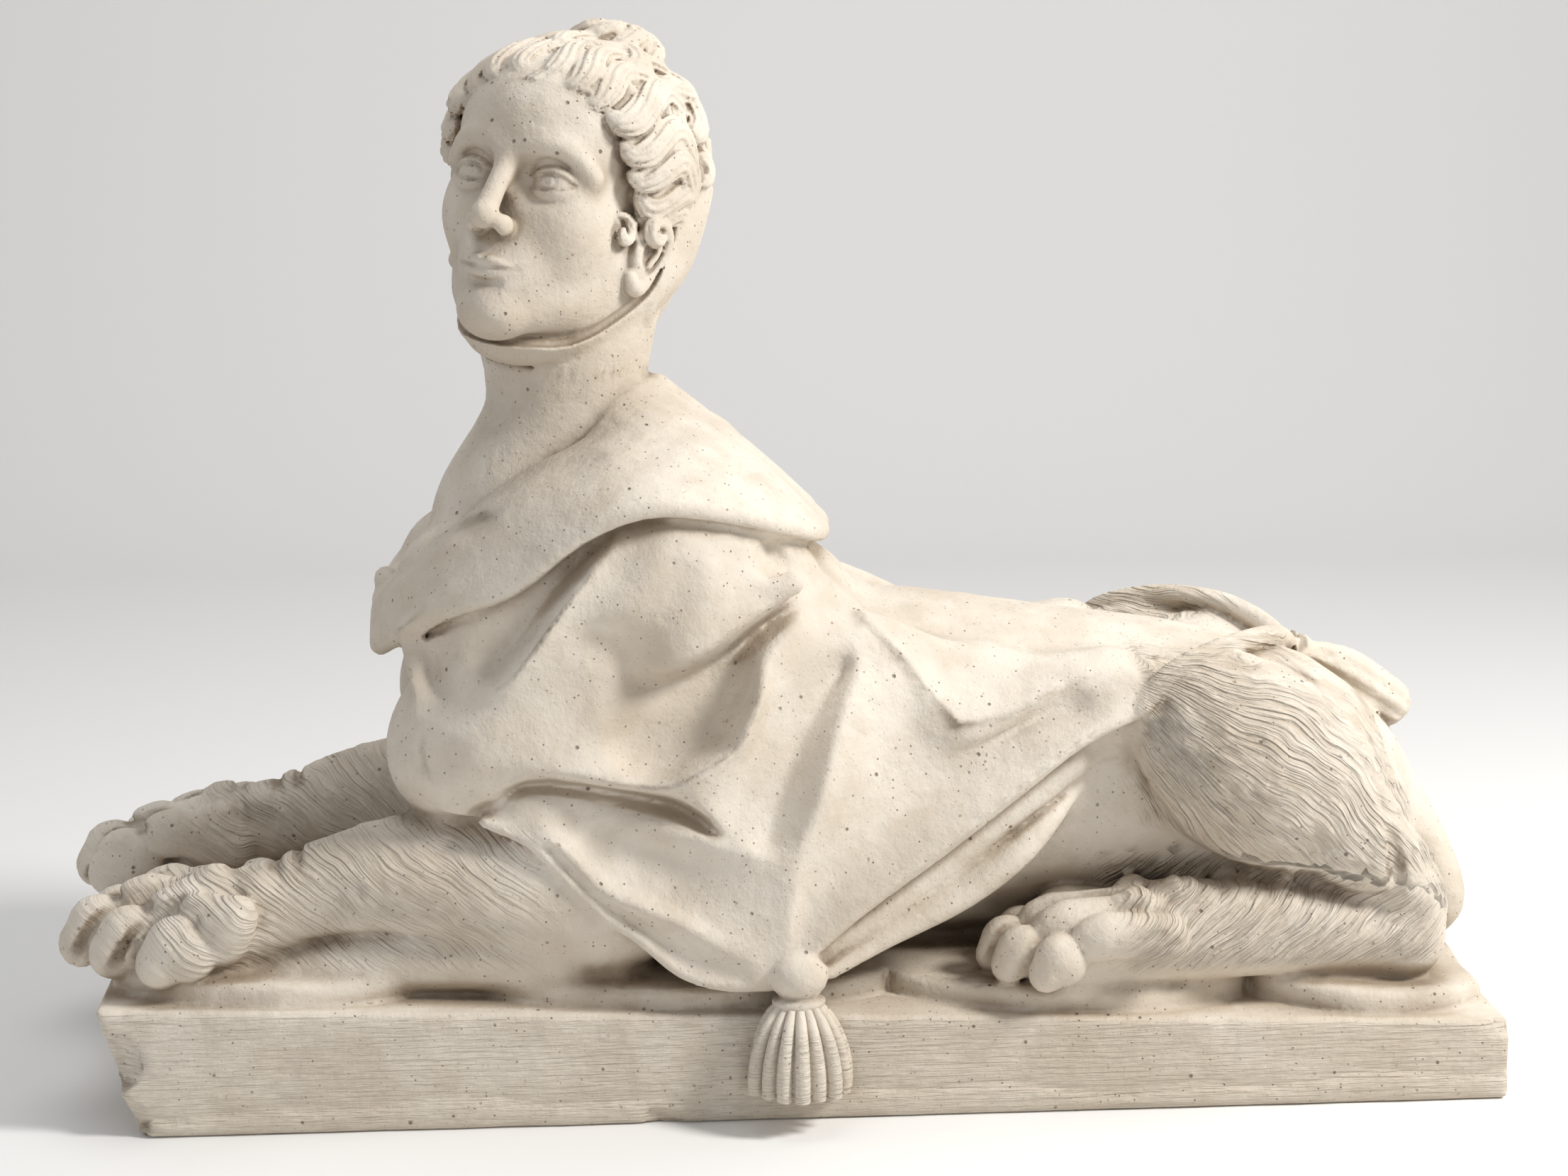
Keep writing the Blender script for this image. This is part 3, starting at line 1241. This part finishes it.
# %% [markdown]
# The big locks are limbs with strands of their own, so their shadows are real ones. Hair curves
# would need thousands of strands; in stone, a lock is one form with a few grooves. The points of
# a lock are laid on the skull and swing to and fro along it.

# %% Long locks
def lock(points, radius, strands=8, depth=2.4, twist=0.12, phase=0.0, blend=1.2, flat=0.72):
    size = np.interp(np.linspace(0, 1, len(points)), (0, 0.2, 0.75, 1), (0.45, 1, 0.95, 0.4))
    head_limb([(*p, radius * w) for p, w in zip(points, size)], blend, strands=strands, depth=depth,
              twist=twist, out=tuple(SKULL - (10, 0, 20)), flat=flat, phase=phase, steps=3)


# where each long wave leaves the hairline: how far out, how high, and its radius
WAVES = ((6, 68, 12), (24, 66, 13), (40, 60, 13), (53, 50, 13), (63, 38, 13), (70, 24, 13),
         (74, 10, 13), (77, -4, 12), (78, -17, 10))


def hairline_locks():
    """Long waves that rise from the hairline and sweep back, one behind the other."""
    for s in (1, -1):
        for n, (y, z, r) in enumerate(WAVES):
            x = float(hairline(np.array([y * 1.0]), np.array([min(z, 62) * 1.0]))[0])
            start = np.array((x + 3, s * y, z))
            back = np.array((-0.92, 0.1 * s, 0.34 if n < 4 else 0.12 - 0.04 * (n - 4)))
            swing = np.array((0.05, 0.55 * s, -0.5)) if n < 3 else np.array((0.1, 0.1 * s, -1.0))
            points = []
            for i in range(10):
                t = i / 9
                spot = start + back * (92 - 3 * n) * t + swing * (8 * sin(t * 8.2 + 0.5 * (n % 3)))
                lift = 2 + 5 * sin(pi * min(1, 0.25 + t * 0.8)) + 1.5 * (n % 2)
                points.append(on_skull(spot - SKULL, lift))
            lock(points, r, strands=11, phase=n * 0.7 + s, depth=2.8)


def upper_locks():
    """The second layer, which runs up to the knot on the crown."""
    for n in range(11):
        u = n / 5 - 1
        start = np.array((30 - 46 * abs(u) ** 1.4, 70 * u, 90 - 34 * abs(u) ** 1.6))
        end = BUN + (-14, 24 * u, -24)
        points = []
        for i in range(7):
            t = i / 6
            side = np.array((-0.35 * np.sign(u + 0.01), 1, -0.5 * u))
            spot = start * (1 - t) + end * t + side * 8 * sin(t * 6.2 + n * 1.9)
            points.append(on_skull(spot - SKULL, 6 + 4 * sin(pi * t) + 2 * (n % 2)))
        lock(points, 12.0, strands=11, depth=2.8, phase=n * 0.7)


print("long waves", 2 * len(WAVES))

# %% [markdown]
# At the temples the locks roll up into curls, and on the crown seven of them wind into a knot.
# Both are the same locks again, led along a spiral.

# %% Curls and the knot
def curl(centre, ring, radius, s, turns=5.4, start=1.2):
    """A lock rolled up into a snail; turns and start are angles."""
    out = np.array((0.2, s, 0.1))
    out /= np.linalg.norm(out)
    one = np.cross(out, (0, 0, 1.0))
    one /= np.linalg.norm(one)
    two = np.cross(one, out)
    points = []
    for i in range(10):
        t = i / 9
        a = turns * t + start
        arm = (one * cos(a) * s + two * sin(a)) * ring * (1 - 0.75 * t)
        points.append(np.array(centre, float) + arm + out * 4 * t)
    lock(points, radius, strands=6, depth=1.8, flat=0.9)


def bun():
    """Seven locks that wind up round the knot."""
    head_ball(BUN - (0, 0, 4), (28, 28, 22), 4)
    for n in range(7):
        a = n * tau / 7
        lock([BUN + (reach * cos(a + on), reach * sin(a + on), z) for reach, on, z in (
            (31, 0, -18), (32, 0.5, -1), (23, 1.1, 14), (5, 1.8, 23))], 11, phase=n)


def hair():
    combed_cap()
    hairline_locks()
    upper_locks()
    bun()
    for s in (1, -1):
        curl((24, s * 67, -22), 12, 5, s)
        curl((0, s * 79, -12), 12, 7, s, 4.4, 3.4)
        curl((-14, s * 84, 20), 13, 8.5, s, 4.6, 2.0)
        curl((-36, s * 85, 34), 13, 9, s, 4.8, 0.4)


print("hair")

# %% [markdown]
# A smooth kerchief holds the hair at the back, and a band of the same cloth passes behind the ear
# and under the chin. The kerchief is an egg cut off along a slanted edge, with a few pleats in it,
# and the band is a sheet with a twisted cord along its front edge.

# %% Kerchief
STRAP_ROWS = [
    [(-24, 80, 24), (-44, 86, 26), (-66, 82, 28)],
    [(-26, 83, -12), (-44, 87, -7), (-64, 82, -2)],
    [(-18, 79, -52), (-36, 81, -47), (-58, 77, -40)],
    [(3, 62, -86), (-10, 63, -87), (-28, 61, -84)],
    [(26, 44, -107), (16, 42, -111), (4, 38, -115)],
    [(44, 22, -114), (36, 20, -119), (26, 16, -123)],
]


def kerchief():
    middle, size = np.array((-46.0, 0, 4)), np.array((77.0, 86, 94))

    def cap(q):
        around = np.arctan2(q[:, 1], q[:, 2] + 70)
        pleats = 2.2 * np.sin(around * 8 + q[:, 0] * 0.045) * ramp(-44, -90, q[:, 0])
        edge = (q[:, 0] + 40) * 0.93 - (q[:, 2] - 60) * 0.22
        return np.maximum(egg_gap(q - middle, size) - pleats, edge)

    head_mass(cap, (-128, -92, -94), (0, 92, 102), 3)
    head_ball((-80, 0, -58), (37, 47, 36), 14)
    rows = STRAP_ROWS + [[(51, 0, -116), (42, 0, -121), (31, 0, -125)]]
    rows += [[(x, -y, z) for x, y, z in row] for row in STRAP_ROWS[::-1]]
    add(sheet([[on_head(p) for p in row] for row in rows], 4.5), 3)
    head_limb([(row[1][0] - 4, row[1][1] * 0.84, row[1][2] + 5, 12) for row in rows[1:-1]], 3)
    # the strap's edge is a cord of two twisted strands
    head_limb([(*row[0], 3.6) for row in rows[1:-1]], 1.5, strands=3, depth=1.3, twist=1.5)
    head_limb([(*row[2], 2.6) for row in rows[1:-1]], 1.5)
    for edge in (0, 2):
        beside = [[a + (a - b) * 0.35 for a, b in zip(row[edge], row[1])] for row in rows[1:-1]]
        head_limb([(*p, 2.8) for p in beside], 2, cut)
    for s in (1, -1):
        head_limb([(-36, s * 82, -6, 6), (-52, s * 72, -40, 8), (-70, s * 48, -74, 8),
                   (-84, s * 16, -92, 6)], 4)
        head_limb([(-20, s * 74, -62, 6), (-38, s * 64, -80, 7), (-60, s * 38, -98, 6)], 4)


print("kerchief")

# %% [markdown]
# ## Tassels
# The cloth's corners end in a ball, a collar and a bell of twisted strands. The ball and the plain
# bell are clay; the strands round the bell repeat, so they are left to Geometry Nodes below. A
# smaller tassel lies on the rump, where the cloth ends.

# %% Tassels in clay
TASSEL_X, TASSEL_Y = -14, 208
BELL_TOP, BELL_FOOT = 97, 31


def side_tassel(side):
    x, y = TASSEL_X, TASSEL_Y * side
    add(ball([x, y, 121], [23, 20, 19]), 3)
    add(ball([x, y, 101], [22, 19, 6]), 1.5)

    def far(p):
        down = np.clip((BELL_TOP - p[:, 2]) / (BELL_TOP - BELL_FOOT), 0, 1)
        radius = 15 + 20 * np.sin(down ** 0.8 * 1.75)
        out = np.hypot(p[:, 0] - x, p[:, 1] - y) - radius
        return np.maximum(np.maximum(out * 0.8, p[:, 2] - BELL_TOP), BELL_FOOT + 1 - p[:, 2])

    add(Mass(far, (x - 40, y - 40, BELL_FOOT), (x + 40, y + 40, BELL_TOP)), 2)


def rump_tassel():
    """The hem crosses both haunches to a knot on the rump, with a tuft of its own."""
    for side in (LEFT, RIGHT):
        tube(side, [(263, 160, 320, 7), (286, 148, 342, 9), (330, 122, 355, 10),
                    (372, 84, 357, 10), (398, 44, 350, 10), (414, 8, 338, 10)], 4)
    add(ball([420, 0, 331], [20, 21, 17]), 2)
    for n in range(3):
        cut(limb([[408 + 9 * n, -24, 330, 2.2], [412 + 9 * n, 0, 349 - 2 * n, 2.2],
                  [408 + 9 * n, 24, 330, 2.2]], 4), 4)
    add(limb([[436, 0, 325, 14], [468, 0, 309, 22], [506, 0, 284, 21]], strands=9, depth=3.2,
             out=(470, 0, 200)), 1.5)


print("tassels")

# %% [markdown]
# ## The whole figure
# The order matters: what is added melts into what is there, and what is cut takes all of it away.
# So the stone comes first, then the animal and its fur, the cloth over it, and the head last.

# %% Put the figure together
def figure():
    plinth()
    rock()
    knocks()
    trunk()
    for side in (LEFT, RIGHT):
        foreleg(side, FAR_PAW_REACH if side == RIGHT else 0)
        hind_leg(side)
    tail()
    fur()
    torso()
    for side in (LEFT, RIGHT):
        under_cloth(side)
        cloth_side(side)
        hems(side)
        collar(side)
        side_tassel(side)
    rump_tassel()
    face()
    hair()
    kerchief()


figure()
print("masses in the figure:", len(WORK))

# %% [markdown]
# The body is drawn in coarser steps than the head, so that the face and the hair get the fine
# ones. The two closed solids overlap by a little way in the neck and are joined there.

# %% Draw body and head
BODY_CELL, HEAD_CELL = 3.2, 1.6
NECK_CUT, NECK_LAP = 588, 14
BODY_TRIANGLES, HEAD_TRIANGLES = 108_000, 84_000


def placed(name, data):
    """A new object for a mesh, a lamp or a camera, linked into the scene."""
    made = bpy.data.objects.new(name, data)
    bpy.context.scene.collection.objects.link(made)
    return made


def drawn(name, low, high, cell, triangles):
    """The skin of all the work inside a box, thinned to about so many triangles."""
    grid, axes = sample(WORK, low, high, cell)
    hollows = fill_hollows(grid)
    close_pinches(grid)
    verts, faces = skin(grid, axes)
    mesh = bpy.data.meshes.new(name)
    mesh.from_pydata((verts / 1000).tolist(), [], faces.tolist())
    piece = placed(name, mesh)
    thin = piece.modifiers.new("thin", "DECIMATE")
    thin.use_collapse_triangulate = True
    thin.ratio = min(1.0, triangles / (2 * len(faces)))
    print(name, "faces", len(faces), "hollow cells filled", hollows)
    return piece


def settled(piece):
    """The piece with its modifiers worked into its mesh."""
    graph = bpy.context.evaluated_depsgraph_get()
    mesh = bpy.data.meshes.new_from_object(piece.evaluated_get(graph))
    piece.modifiers.clear()
    piece.data = mesh
    return piece


body = settled(drawn("body", (-640, -262, -6.4), (620, 262, NECK_CUT), BODY_CELL, BODY_TRIANGLES))
head = settled(drawn("head", (-344, -176, NECK_CUT - NECK_LAP), (-10, 160, 892), HEAD_CELL,
                     HEAD_TRIANGLES))
join = body.modifiers.new("join", "BOOLEAN")
join.operation, join.solver, join.object = "UNION", "MANIFOLD", head
settled(body)
bpy.data.objects.remove(head)
statue = body
statue.name = statue.data.name = "sphinx_cast"
statue.data.shade_smooth()
print("cast:", len(statue.data.vertices), "vertices,", len(statue.data.polygons), "faces")

# %% [markdown]
# ## What the finish needs to know
# Dirt sits in hollows and light wear sits on edges, so each vertex is told how open it lies: the
# distance function is asked a little way out from the skin, and the more clay is met there, the
# deeper the hollow. The fur's direction is written down too, as how far along and how far across
# its lock a point lies.

# %% Hollows for the finish
def vertex_values(mesh, label):
    values = np.empty(len(mesh.vertices) * 3)
    mesh.vertices.foreach_get(label, values)
    return values.reshape(-1, 3)


def write_value(mesh, name, values):
    """One number for each vertex, kept in the mesh under a name."""
    layer = mesh.attributes.new(name, "FLOAT", "POINT")
    layer.data.foreach_set("value", np.asarray(values, dtype=np.float32))


def hollowness(spots, outward, reach):
    """0 on a plain surface, up to 2 where clay is all round at this reach."""
    found = np.zeros(len(spots))
    for start in range(0, len(spots), 40000):
        part = slice(start, start + 40000)
        found[part] = distance(WORK, spots[part] + outward[part] * reach, reach * 1.5)
    return np.clip(1 - found / reach, 0, 2)


spots, outward = vertex_values(statue.data, "co") * 1000, vertex_values(statue.data, "normal")
for label, reach in (("crevice", 4), ("hollow", 16)):
    write_value(statue.data, label, hollowness(spots, outward, reach))
for label, values in zip(("fur_along", "fur_across", "furry"), fur_flow(spots)):
    write_value(statue.data, label, values)
print("values at the vertices:", [layer.name for layer in statue.data.attributes])

# %% [markdown]
# ## Geometry Nodes: the strands of a tassel
# Sixteen strands stand side by side round each bell, all alike but for a small difference. One
# tree makes a strand from a line bent to the bell's outline, places it on a circle, makes the
# copies real and gives them their material. Its sizes are named inputs of the modifier.

# %% A node tree from named inputs
def node_tree(name, inputs):
    tree = bpy.data.node_groups.new(name, "GeometryNodeTree")
    tree.interface.new_socket("Geometry", in_out="OUTPUT", socket_type="NodeSocketGeometry")
    for label, kind, value in inputs:
        socket = tree.interface.new_socket(label, in_out="INPUT", socket_type=kind)
        if value is not None:
            socket.default_value = value
    return tree


def put(tree, kind, settings=None, **sockets):
    """A node with its settings, then the values or links of its sockets by name or number."""
    node = tree.nodes.new(kind)
    for key, value in (settings or {}).items():
        setattr(node, key, value)
    for key, value in sockets.items():
        socket = node.inputs[int(key[1:]) if key[1:].isdigit() else key.replace("_", " ")]
        if isinstance(value, bpy.types.NodeSocket):
            tree.links.new(value, socket)
        else:
            socket.default_value = value
    return node


print("node helpers ready")

# %% [markdown]
# Maths on sockets reads best as sums, so a small class wraps a socket, and a sum on it adds the
# nodes. The tree below and the finish of the stone are both written with it.

# %% Sums on sockets
class Wire:
    """A socket of a node tree, so that sums on it add the nodes by themselves."""

    def __init__(self, tree, socket):
        self.tree, self.socket = tree, socket

    def node(self, kind, settings=None, out=0, **sockets):
        plain = {k: v.socket if isinstance(v, Wire) else v for k, v in sockets.items()}
        made = put(self.tree, kind, settings, **plain)
        return Wire(self.tree, made.outputs[out])

    def sum(self, kind, other=0.0, third=0.0):
        return self.node("ShaderNodeMath", {"operation": kind}, _0=self, _1=other, _2=third)

    def __add__(self, other):
        return self.sum("ADD", other)

    def __mul__(self, other):
        return self.sum("MULTIPLY", other)

    def __sub__(self, other):
        return self.sum("SUBTRACT", other)

    def __rsub__(self, other):
        return self.node("ShaderNodeMath", {"operation": "SUBTRACT"}, _0=other, _1=self)

    def __rtruediv__(self, other):
        return self.node("ShaderNodeMath", {"operation": "DIVIDE"}, _0=other, _1=self)

    def __pow__(self, other):
        return self.sum("POWER", other)

    __radd__, __rmul__ = __add__, __mul__

    def between(self, low, high):
        """0 up to low, 1 from high on, smooth in between."""
        return self.node("ShaderNodeMapRange", {"interpolation_type": "SMOOTHSTEP"}, Value=self,
                         From_Min=low, From_Max=high)

    def over(self, base, top):
        """Base colour where this is 0, top colour where it is 1."""
        return self.node("ShaderNodeMix", {"data_type": "RGBA"}, out=2, _0=self, _6=base, _7=top)


print("sums on sockets ready")

# %% [markdown]
# In the tree, a straight line's points are moved out to the bell's outline by a few sums on how
# far down the line they are. A ring drawn along it makes the strand, and one point in the middle
# for each strand carries a copy turned by its share of the circle.

# %% The tree of the strands
def tassel_tree():
    tree = node_tree("bell_strands", [
        ("Strands", "NodeSocketInt", 16), ("Length", "NodeSocketFloat", 0.066),
        ("Top Radius", "NodeSocketFloat", 0.016), ("Flare", "NodeSocketFloat", 0.020),
        ("Strand Radius", "NodeSocketFloat", 0.0058), ("Twist", "NodeSocketFloat", 0.0),
        ("Seed", "NodeSocketInt", 7), ("Finish", "NodeSocketMaterial", None)])
    given = {pin.name: Wire(tree, pin) for pin in tree.nodes.new("NodeGroupInput").outputs}
    new = given["Length"].node
    line = new("GeometryNodeCurvePrimitiveLine", End=(0, 0, -1))
    line = new("GeometryNodeResampleCurve", Curve=line, Count=10)
    down = new("GeometryNodeSplineParameter")
    bulge = (down ** 0.8 * 1.75).sum("SINE")
    reach = bulge * given["Flare"] + given["Top Radius"]
    turn = down * given["Twist"]
    sway = new("ShaderNodeCombineXYZ", X=reach * turn.sum("COSINE"), Y=reach * turn.sum("SINE"),
               Z=down * given["Length"] * -1.0)
    line = new("GeometryNodeSetPosition", Geometry=line, Position=sway)
    ring = new("GeometryNodeCurvePrimitiveCircle", Resolution=8, Radius=given["Strand Radius"])
    swell = bulge * 0.45 + 0.6
    line = new("GeometryNodeSetCurveRadius", Curve=line, Radius=swell)
    strand = new("GeometryNodeCurveToMesh", Curve=line, Profile_Curve=ring, Scale=swell,
                 Fill_Caps=True)
    spots = new("GeometryNodeMeshLine", {"mode": "OFFSET"}, Count=given["Strands"],
                Offset=(0, 0, 0))
    around = new("ShaderNodeCombineXYZ",
                 Z=new("GeometryNodeInputIndex") * (tau / given["Strands"]))
    uneven = new("FunctionNodeRandomValue", {"data_type": "FLOAT"}, out=1, _2=0.93, _3=1.05,
                 Seed=given["Seed"])
    size = new("ShaderNodeCombineXYZ", X=uneven, Y=uneven, Z=1.0)
    copies = new("GeometryNodeInstanceOnPoints", Points=spots, Instance=strand, Rotation=around,
                 Scale=size)
    real = new("GeometryNodeRealizeInstances", Geometry=copies)
    done = new("GeometryNodeSetMaterial", Geometry=real, Material=given["Finish"])
    tree.links.new(done.socket, tree.nodes.new("NodeGroupOutput").inputs[0])
    return tree


BELLS = tassel_tree()
print("nodes in the tree:", len(BELLS.nodes))

# %% [markdown]
# The tree works on an empty object through a modifier. The result is turned into a plain mesh and
# moved to the flank, so that nothing is left to be worked out later.

# %% Grow a mesh from a tree
def identifier(tree, label):
    """The name Blender gives an input inside, which a modifier is set by."""
    return next(item.identifier for item in tree.interface.items_tree
                if item.item_type == "SOCKET" and item.in_out == "INPUT" and item.name == label)


def grown(tree, name, place, **values):
    """The plain mesh that a tree makes with these inputs, moved to its place in millimetres."""
    holder = placed(name, bpy.data.meshes.new(name))
    modifier = holder.modifiers.new(name, "NODES")
    modifier.node_group = tree
    for label, value in values.items():
        modifier[identifier(tree, label.replace("_", " "))] = value
    settled(holder)
    moved = vertex_values(holder.data, "co") + np.array(place) / 1000
    holder.data.vertices.foreach_set("co", moved.ravel())
    holder.data.update()
    holder.data.name = name
    print(name, "vertices", len(moved))
    return holder


print("growing helpers ready")

# %% [markdown]
# ## Cast stone
# The stone is a creamy cement. Rain has washed it pale where it is open and left grey-brown in
# the hollows, brown specks of iron sit in it, and air bubbles left small pits in the skin. All
# the patterns read the object's own coordinates, so they stay on the stone from any side. Three
# helpers make them: a colour from screen values, soft clouds, and scattered spots. A spot sits in
# some of the cells of a Voronoi pattern, chosen by the cell's random colour.

# %% Patterns
def colour(red, green, blue):
    """Screen values 0 to 255 as scene-linear colour."""
    return tuple((v / 255 / 12.92 if v / 255 <= 0.04045 else ((v / 255 + 0.055) / 1.055) ** 2.4)
                 for v in (red, green, blue)) + (1.0,)


def noise(start, scale, detail=4.0, rough=0.55):
    return start.node("ShaderNodeTexNoise", Vector=start, Scale=scale, Detail=detail,
                      Roughness=rough)


def specks(start, scale, size, share):
    """Scattered spots: 1 in the middle of a spot, 0 off it; share says how many cells have one."""
    cell = start.node("ShaderNodeTexVoronoi", Vector=start, Scale=scale)
    tint = cell.node("ShaderNodeTexVoronoi", out=1, Vector=start, Scale=scale)
    red = tint.node("ShaderNodeSeparateColor", Color=tint)
    chosen = red.between(1 - share, 1 - share + 0.05)
    return (1 - cell.between(size * 0.35, size)) * chosen


print("patterns: noise, specks")

# %% [markdown]
# The stains are laid one over another: clouds, dirt at the foot, fur, hollows, then specks and
# pits. The fine relief goes through a bump: grain, pits, brush strokes on the plinth's sides, and
# hair in the fur. A second, plainer finish without the vertex values serves the bells.

# %% The finish
# heights of the fine relief in metres
GRAIN, MOTTLE, PIT, SMALL_PIT, UNEVEN = 0.00035, 0.0004, 0.0016, 0.0009, 0.0022
BRUSH_STROKE, FUR_LOCK, FUR_HAIR = 0.0046, 0.0026, 0.0020


def stone(name, carved):
    """Cast stone; carved adds what only the big casting knows about: its hollows and its fur."""
    material = bpy.data.materials.new(name)
    material.use_nodes = True
    tree = material.node_tree
    shader = tree.nodes["Principled BSDF"]
    where = Wire(tree, tree.nodes.new("ShaderNodeTexCoord").outputs["Object"])

    def value(label):
        node = tree.nodes.new("ShaderNodeAttribute")
        node.attribute_name = label
        return Wire(tree, node.outputs["Fac"])

    place = where.node("ShaderNodeSeparateXYZ", Vector=where)
    height = Wire(tree, place.socket.node.outputs["Z"])
    lengthways = Wire(tree, place.socket.node.outputs["X"])
    flecks = specks(where, 210, 0.34, 0.045)
    fine = specks(where, 520, 0.45, 0.06)
    pits = specks(where, 120, 0.24, 0.07)
    small_pits = specks(where, 330, 0.34, 0.07)
    cloud = noise(where, 5.5, 5.0, 0.62).between(0.38, 0.66)
    mottle = noise(where, 24, 5.0, 0.6).between(0.40, 0.68)
    grain = noise(where, 340, 3.0, 0.6)

    # cream, greyer in clouds, and the stains over it from the first to the last
    base = cloud.over(colour(217, 208, 194), colour(201, 189, 172))
    stains = [(mottle * 0.40, (186, 172, 152)),
              ((1 - height.between(0.0, 0.11)) * 0.25, (190, 174, 150))]
    if carved:
        crevice, hollow = value("crevice").between(0.08, 0.60), value("hollow").between(0.16, 0.90)
        along, across, furry = value("fur_along"), value("fur_across"), value("furry")
        drift = noise(where, 13, 2.0, 0.5) * 26
        flow, fine_flow = (
            where.node("ShaderNodeCombineXYZ", X=along * x, Y=(across + drift) * y)
            for x, y in ((0.020, 0.30), (0.05, 0.75)))
        locks = noise(flow, 1.0, 1.0, 0.5).between(0.30, 0.70)
        hairs = noise(fine_flow, 1.0, 2.0, 0.6)
        stains += [(furry * (1 - locks) * 0.28, (150, 130, 104)),
                   (hollow * 0.70, (156, 138, 115)),
                   (crevice * (mottle * 0.5 + 0.5) * 0.80, (112, 94, 72))]
    stains += [(flecks * 0.75, (128, 98, 66)), (fine * 0.5, (116, 92, 68)),
               ((pits + small_pits).between(0.2, 0.9) * 0.70, (96, 76, 54))]
    for mask, tint in stains:
        base = mask.over(base, colour(*tint))
    tree.links.new(base.socket, shader.inputs["Base Color"])
    rough = grain * 0.12 + 0.74
    tree.links.new(rough.socket, shader.inputs["Roughness"])

    relief = grain * GRAIN + mottle * MOTTLE - pits * PIT - small_pits * SMALL_PIT
    relief = relief + noise(where, 46, 5.0, 0.62) * UNEVEN
    stretched = where.node("ShaderNodeMapping", Vector=where)
    stretched.socket.node.inputs["Scale"].default_value = (0.045, 0.045, 1.0)
    strokes = noise(stretched, 330, 3.0, 0.6)
    on_plinth = 1 - (height + lengthways * 0.034).between(0.078, 0.086)
    relief = relief + on_plinth * (strokes - 0.5) * BRUSH_STROKE
    if carved:
        relief = relief + furry * (locks * FUR_LOCK + hairs * FUR_HAIR)
    bump = relief.node("ShaderNodeBump", Height=relief, Distance=1.0, Strength=1.0)
    tree.links.new(bump.socket, shader.inputs["Normal"])
    return material


cast_stone = stone("cast_stone_weathered", True)
plain_stone = stone("cast_stone_plain", False)
statue.data.materials.clear()
statue.data.materials.append(cast_stone)
print("materials:", cast_stone.name, plain_stone.name)

# %% [markdown]
# Each flank gets a bell of its own, and another seed makes its strands a little different.

# %% Grow the strands
bells = [grown(BELLS, f"bell_strands_{label}", (TASSEL_X, TASSEL_Y * side, BELL_TOP), Strands=16,
               Length=(BELL_TOP - BELL_FOOT) / 1000, Seed=seed, Finish=plain_stone)
         for label, side, seed in (("left", LEFT, 7), ("right", RIGHT, 11))]
print("bells:", [bell.name for bell in bells])

# %% [markdown]
# ## Floor, light and camera
# A pale floor runs up into a pale wall, as a roll of paper does in a studio, so that no line shows
# behind the statue.

# %% Floor
def floor():
    front, depth, rise, bend, half_width = -3.2, 3.2, 3.4, 0.9, 6.0
    outline = [(front, 0.0)] + [(depth - bend + bend * sin(a), bend - bend * cos(a))
                               for a in np.linspace(0, pi / 2, 14)] + [(depth, rise)]
    verts = [(x, y, z) for y, z in outline for x in (-half_width, half_width)]
    faces = [(2 * n, 2 * n + 1, 2 * n + 3, 2 * n + 2) for n in range(len(outline) - 1)]
    mesh = bpy.data.meshes.new("studio_floor")
    mesh.from_pydata(verts, [], faces)
    mesh.shade_smooth()
    paper = bpy.data.materials.new("studio_paper")
    paper.use_nodes = True
    shade = paper.node_tree.nodes["Principled BSDF"]
    shade.inputs["Base Color"].default_value = (0.80, 0.79, 0.77, 1)
    shade.inputs["Roughness"].default_value = 0.9
    mesh.materials.append(paper)
    return placed("studio_floor", mesh)


studio_floor = floor()
print("floor faces", len(studio_floor.data.polygons))

# %% [markdown]
# The light is soft: a firm lamp high on the right gives the modelling, a wide one above softens
# it, and a weak one in front fills the shadows. The sky's own light is cool and even.

# %% Lights
def area_light(name, place, aim, size, watts, tint=(1, 1, 1)):
    lamp = bpy.data.lights.new(name, "AREA")
    lamp.shape, lamp.size, lamp.energy, lamp.color = "DISK", size, watts, tint
    stand = placed(name, lamp)
    stand.location = place
    away = np.array(place) - np.array(aim)
    tip, turn = np.arctan2(hypot(away[0], away[1]), away[2]), np.arctan2(away[1], away[0])
    stand.rotation_euler = (tip, 0, turn + pi / 2)


area_light("key", place=(2.1, -1.0, 2.2), aim=(0.0, 0, 0.35), size=0.7, watts=92,
           tint=(1.0, 0.985, 0.96))
area_light("top", place=(-0.2, 0.4, 3.0), aim=(0, 0, 0.3), size=2.2, watts=26)
area_light("front_fill", place=(-2.2, -3.0, 1.6), aim=(0, 0, 0.4), size=2.4, watts=14,
           tint=(0.97, 0.98, 1.0))
world = bpy.data.worlds.new("studio_air")
bpy.context.scene.world = world
world.use_nodes = True
world.node_tree.nodes["Background"].inputs["Color"].default_value = (0.93, 0.95, 1.0, 1)
world.node_tree.nodes["Background"].inputs["Strength"].default_value = 0.42

# %% [markdown]
# The camera stands at a grown-up's chest height in front of the left flank, looks down a little
# and has a long lens, so that the head and the near paw keep their size against each other.

# %% Camera
CAMERA_PLACE, CAMERA_PITCH, CAMERA_TURN = (-0.2085, -2.4224, 0.8399), radians(10.5), 0.0825
SENSOR, FOCAL_LENGTH = 36, 68.4

lens = bpy.data.cameras.new("camera")
lens.sensor_width, lens.lens = SENSOR, FOCAL_LENGTH
camera = placed("camera", lens)
camera.location = CAMERA_PLACE
camera.rotation_euler = (pi / 2 - CAMERA_PITCH, 0, -CAMERA_TURN)
bpy.context.scene.camera = camera
bpy.context.scene.view_settings.view_transform = "Standard"
print("camera lens", lens.lens, "mm")

# %% [markdown]
# ## Hand over
# Each piece is told which body it rides on and which solid it stands for, and the visible model's
# box is written next to the solid model's box.

# %% Ride, replace, measure
for piece in [statue, *bells]:
    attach(piece, "root")
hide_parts("sphinx_statue")

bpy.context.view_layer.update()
for piece in [statue, *bells]:
    print(piece.name, "triangles", sum(len(face.vertices) - 2 for face in piece.data.polygons))
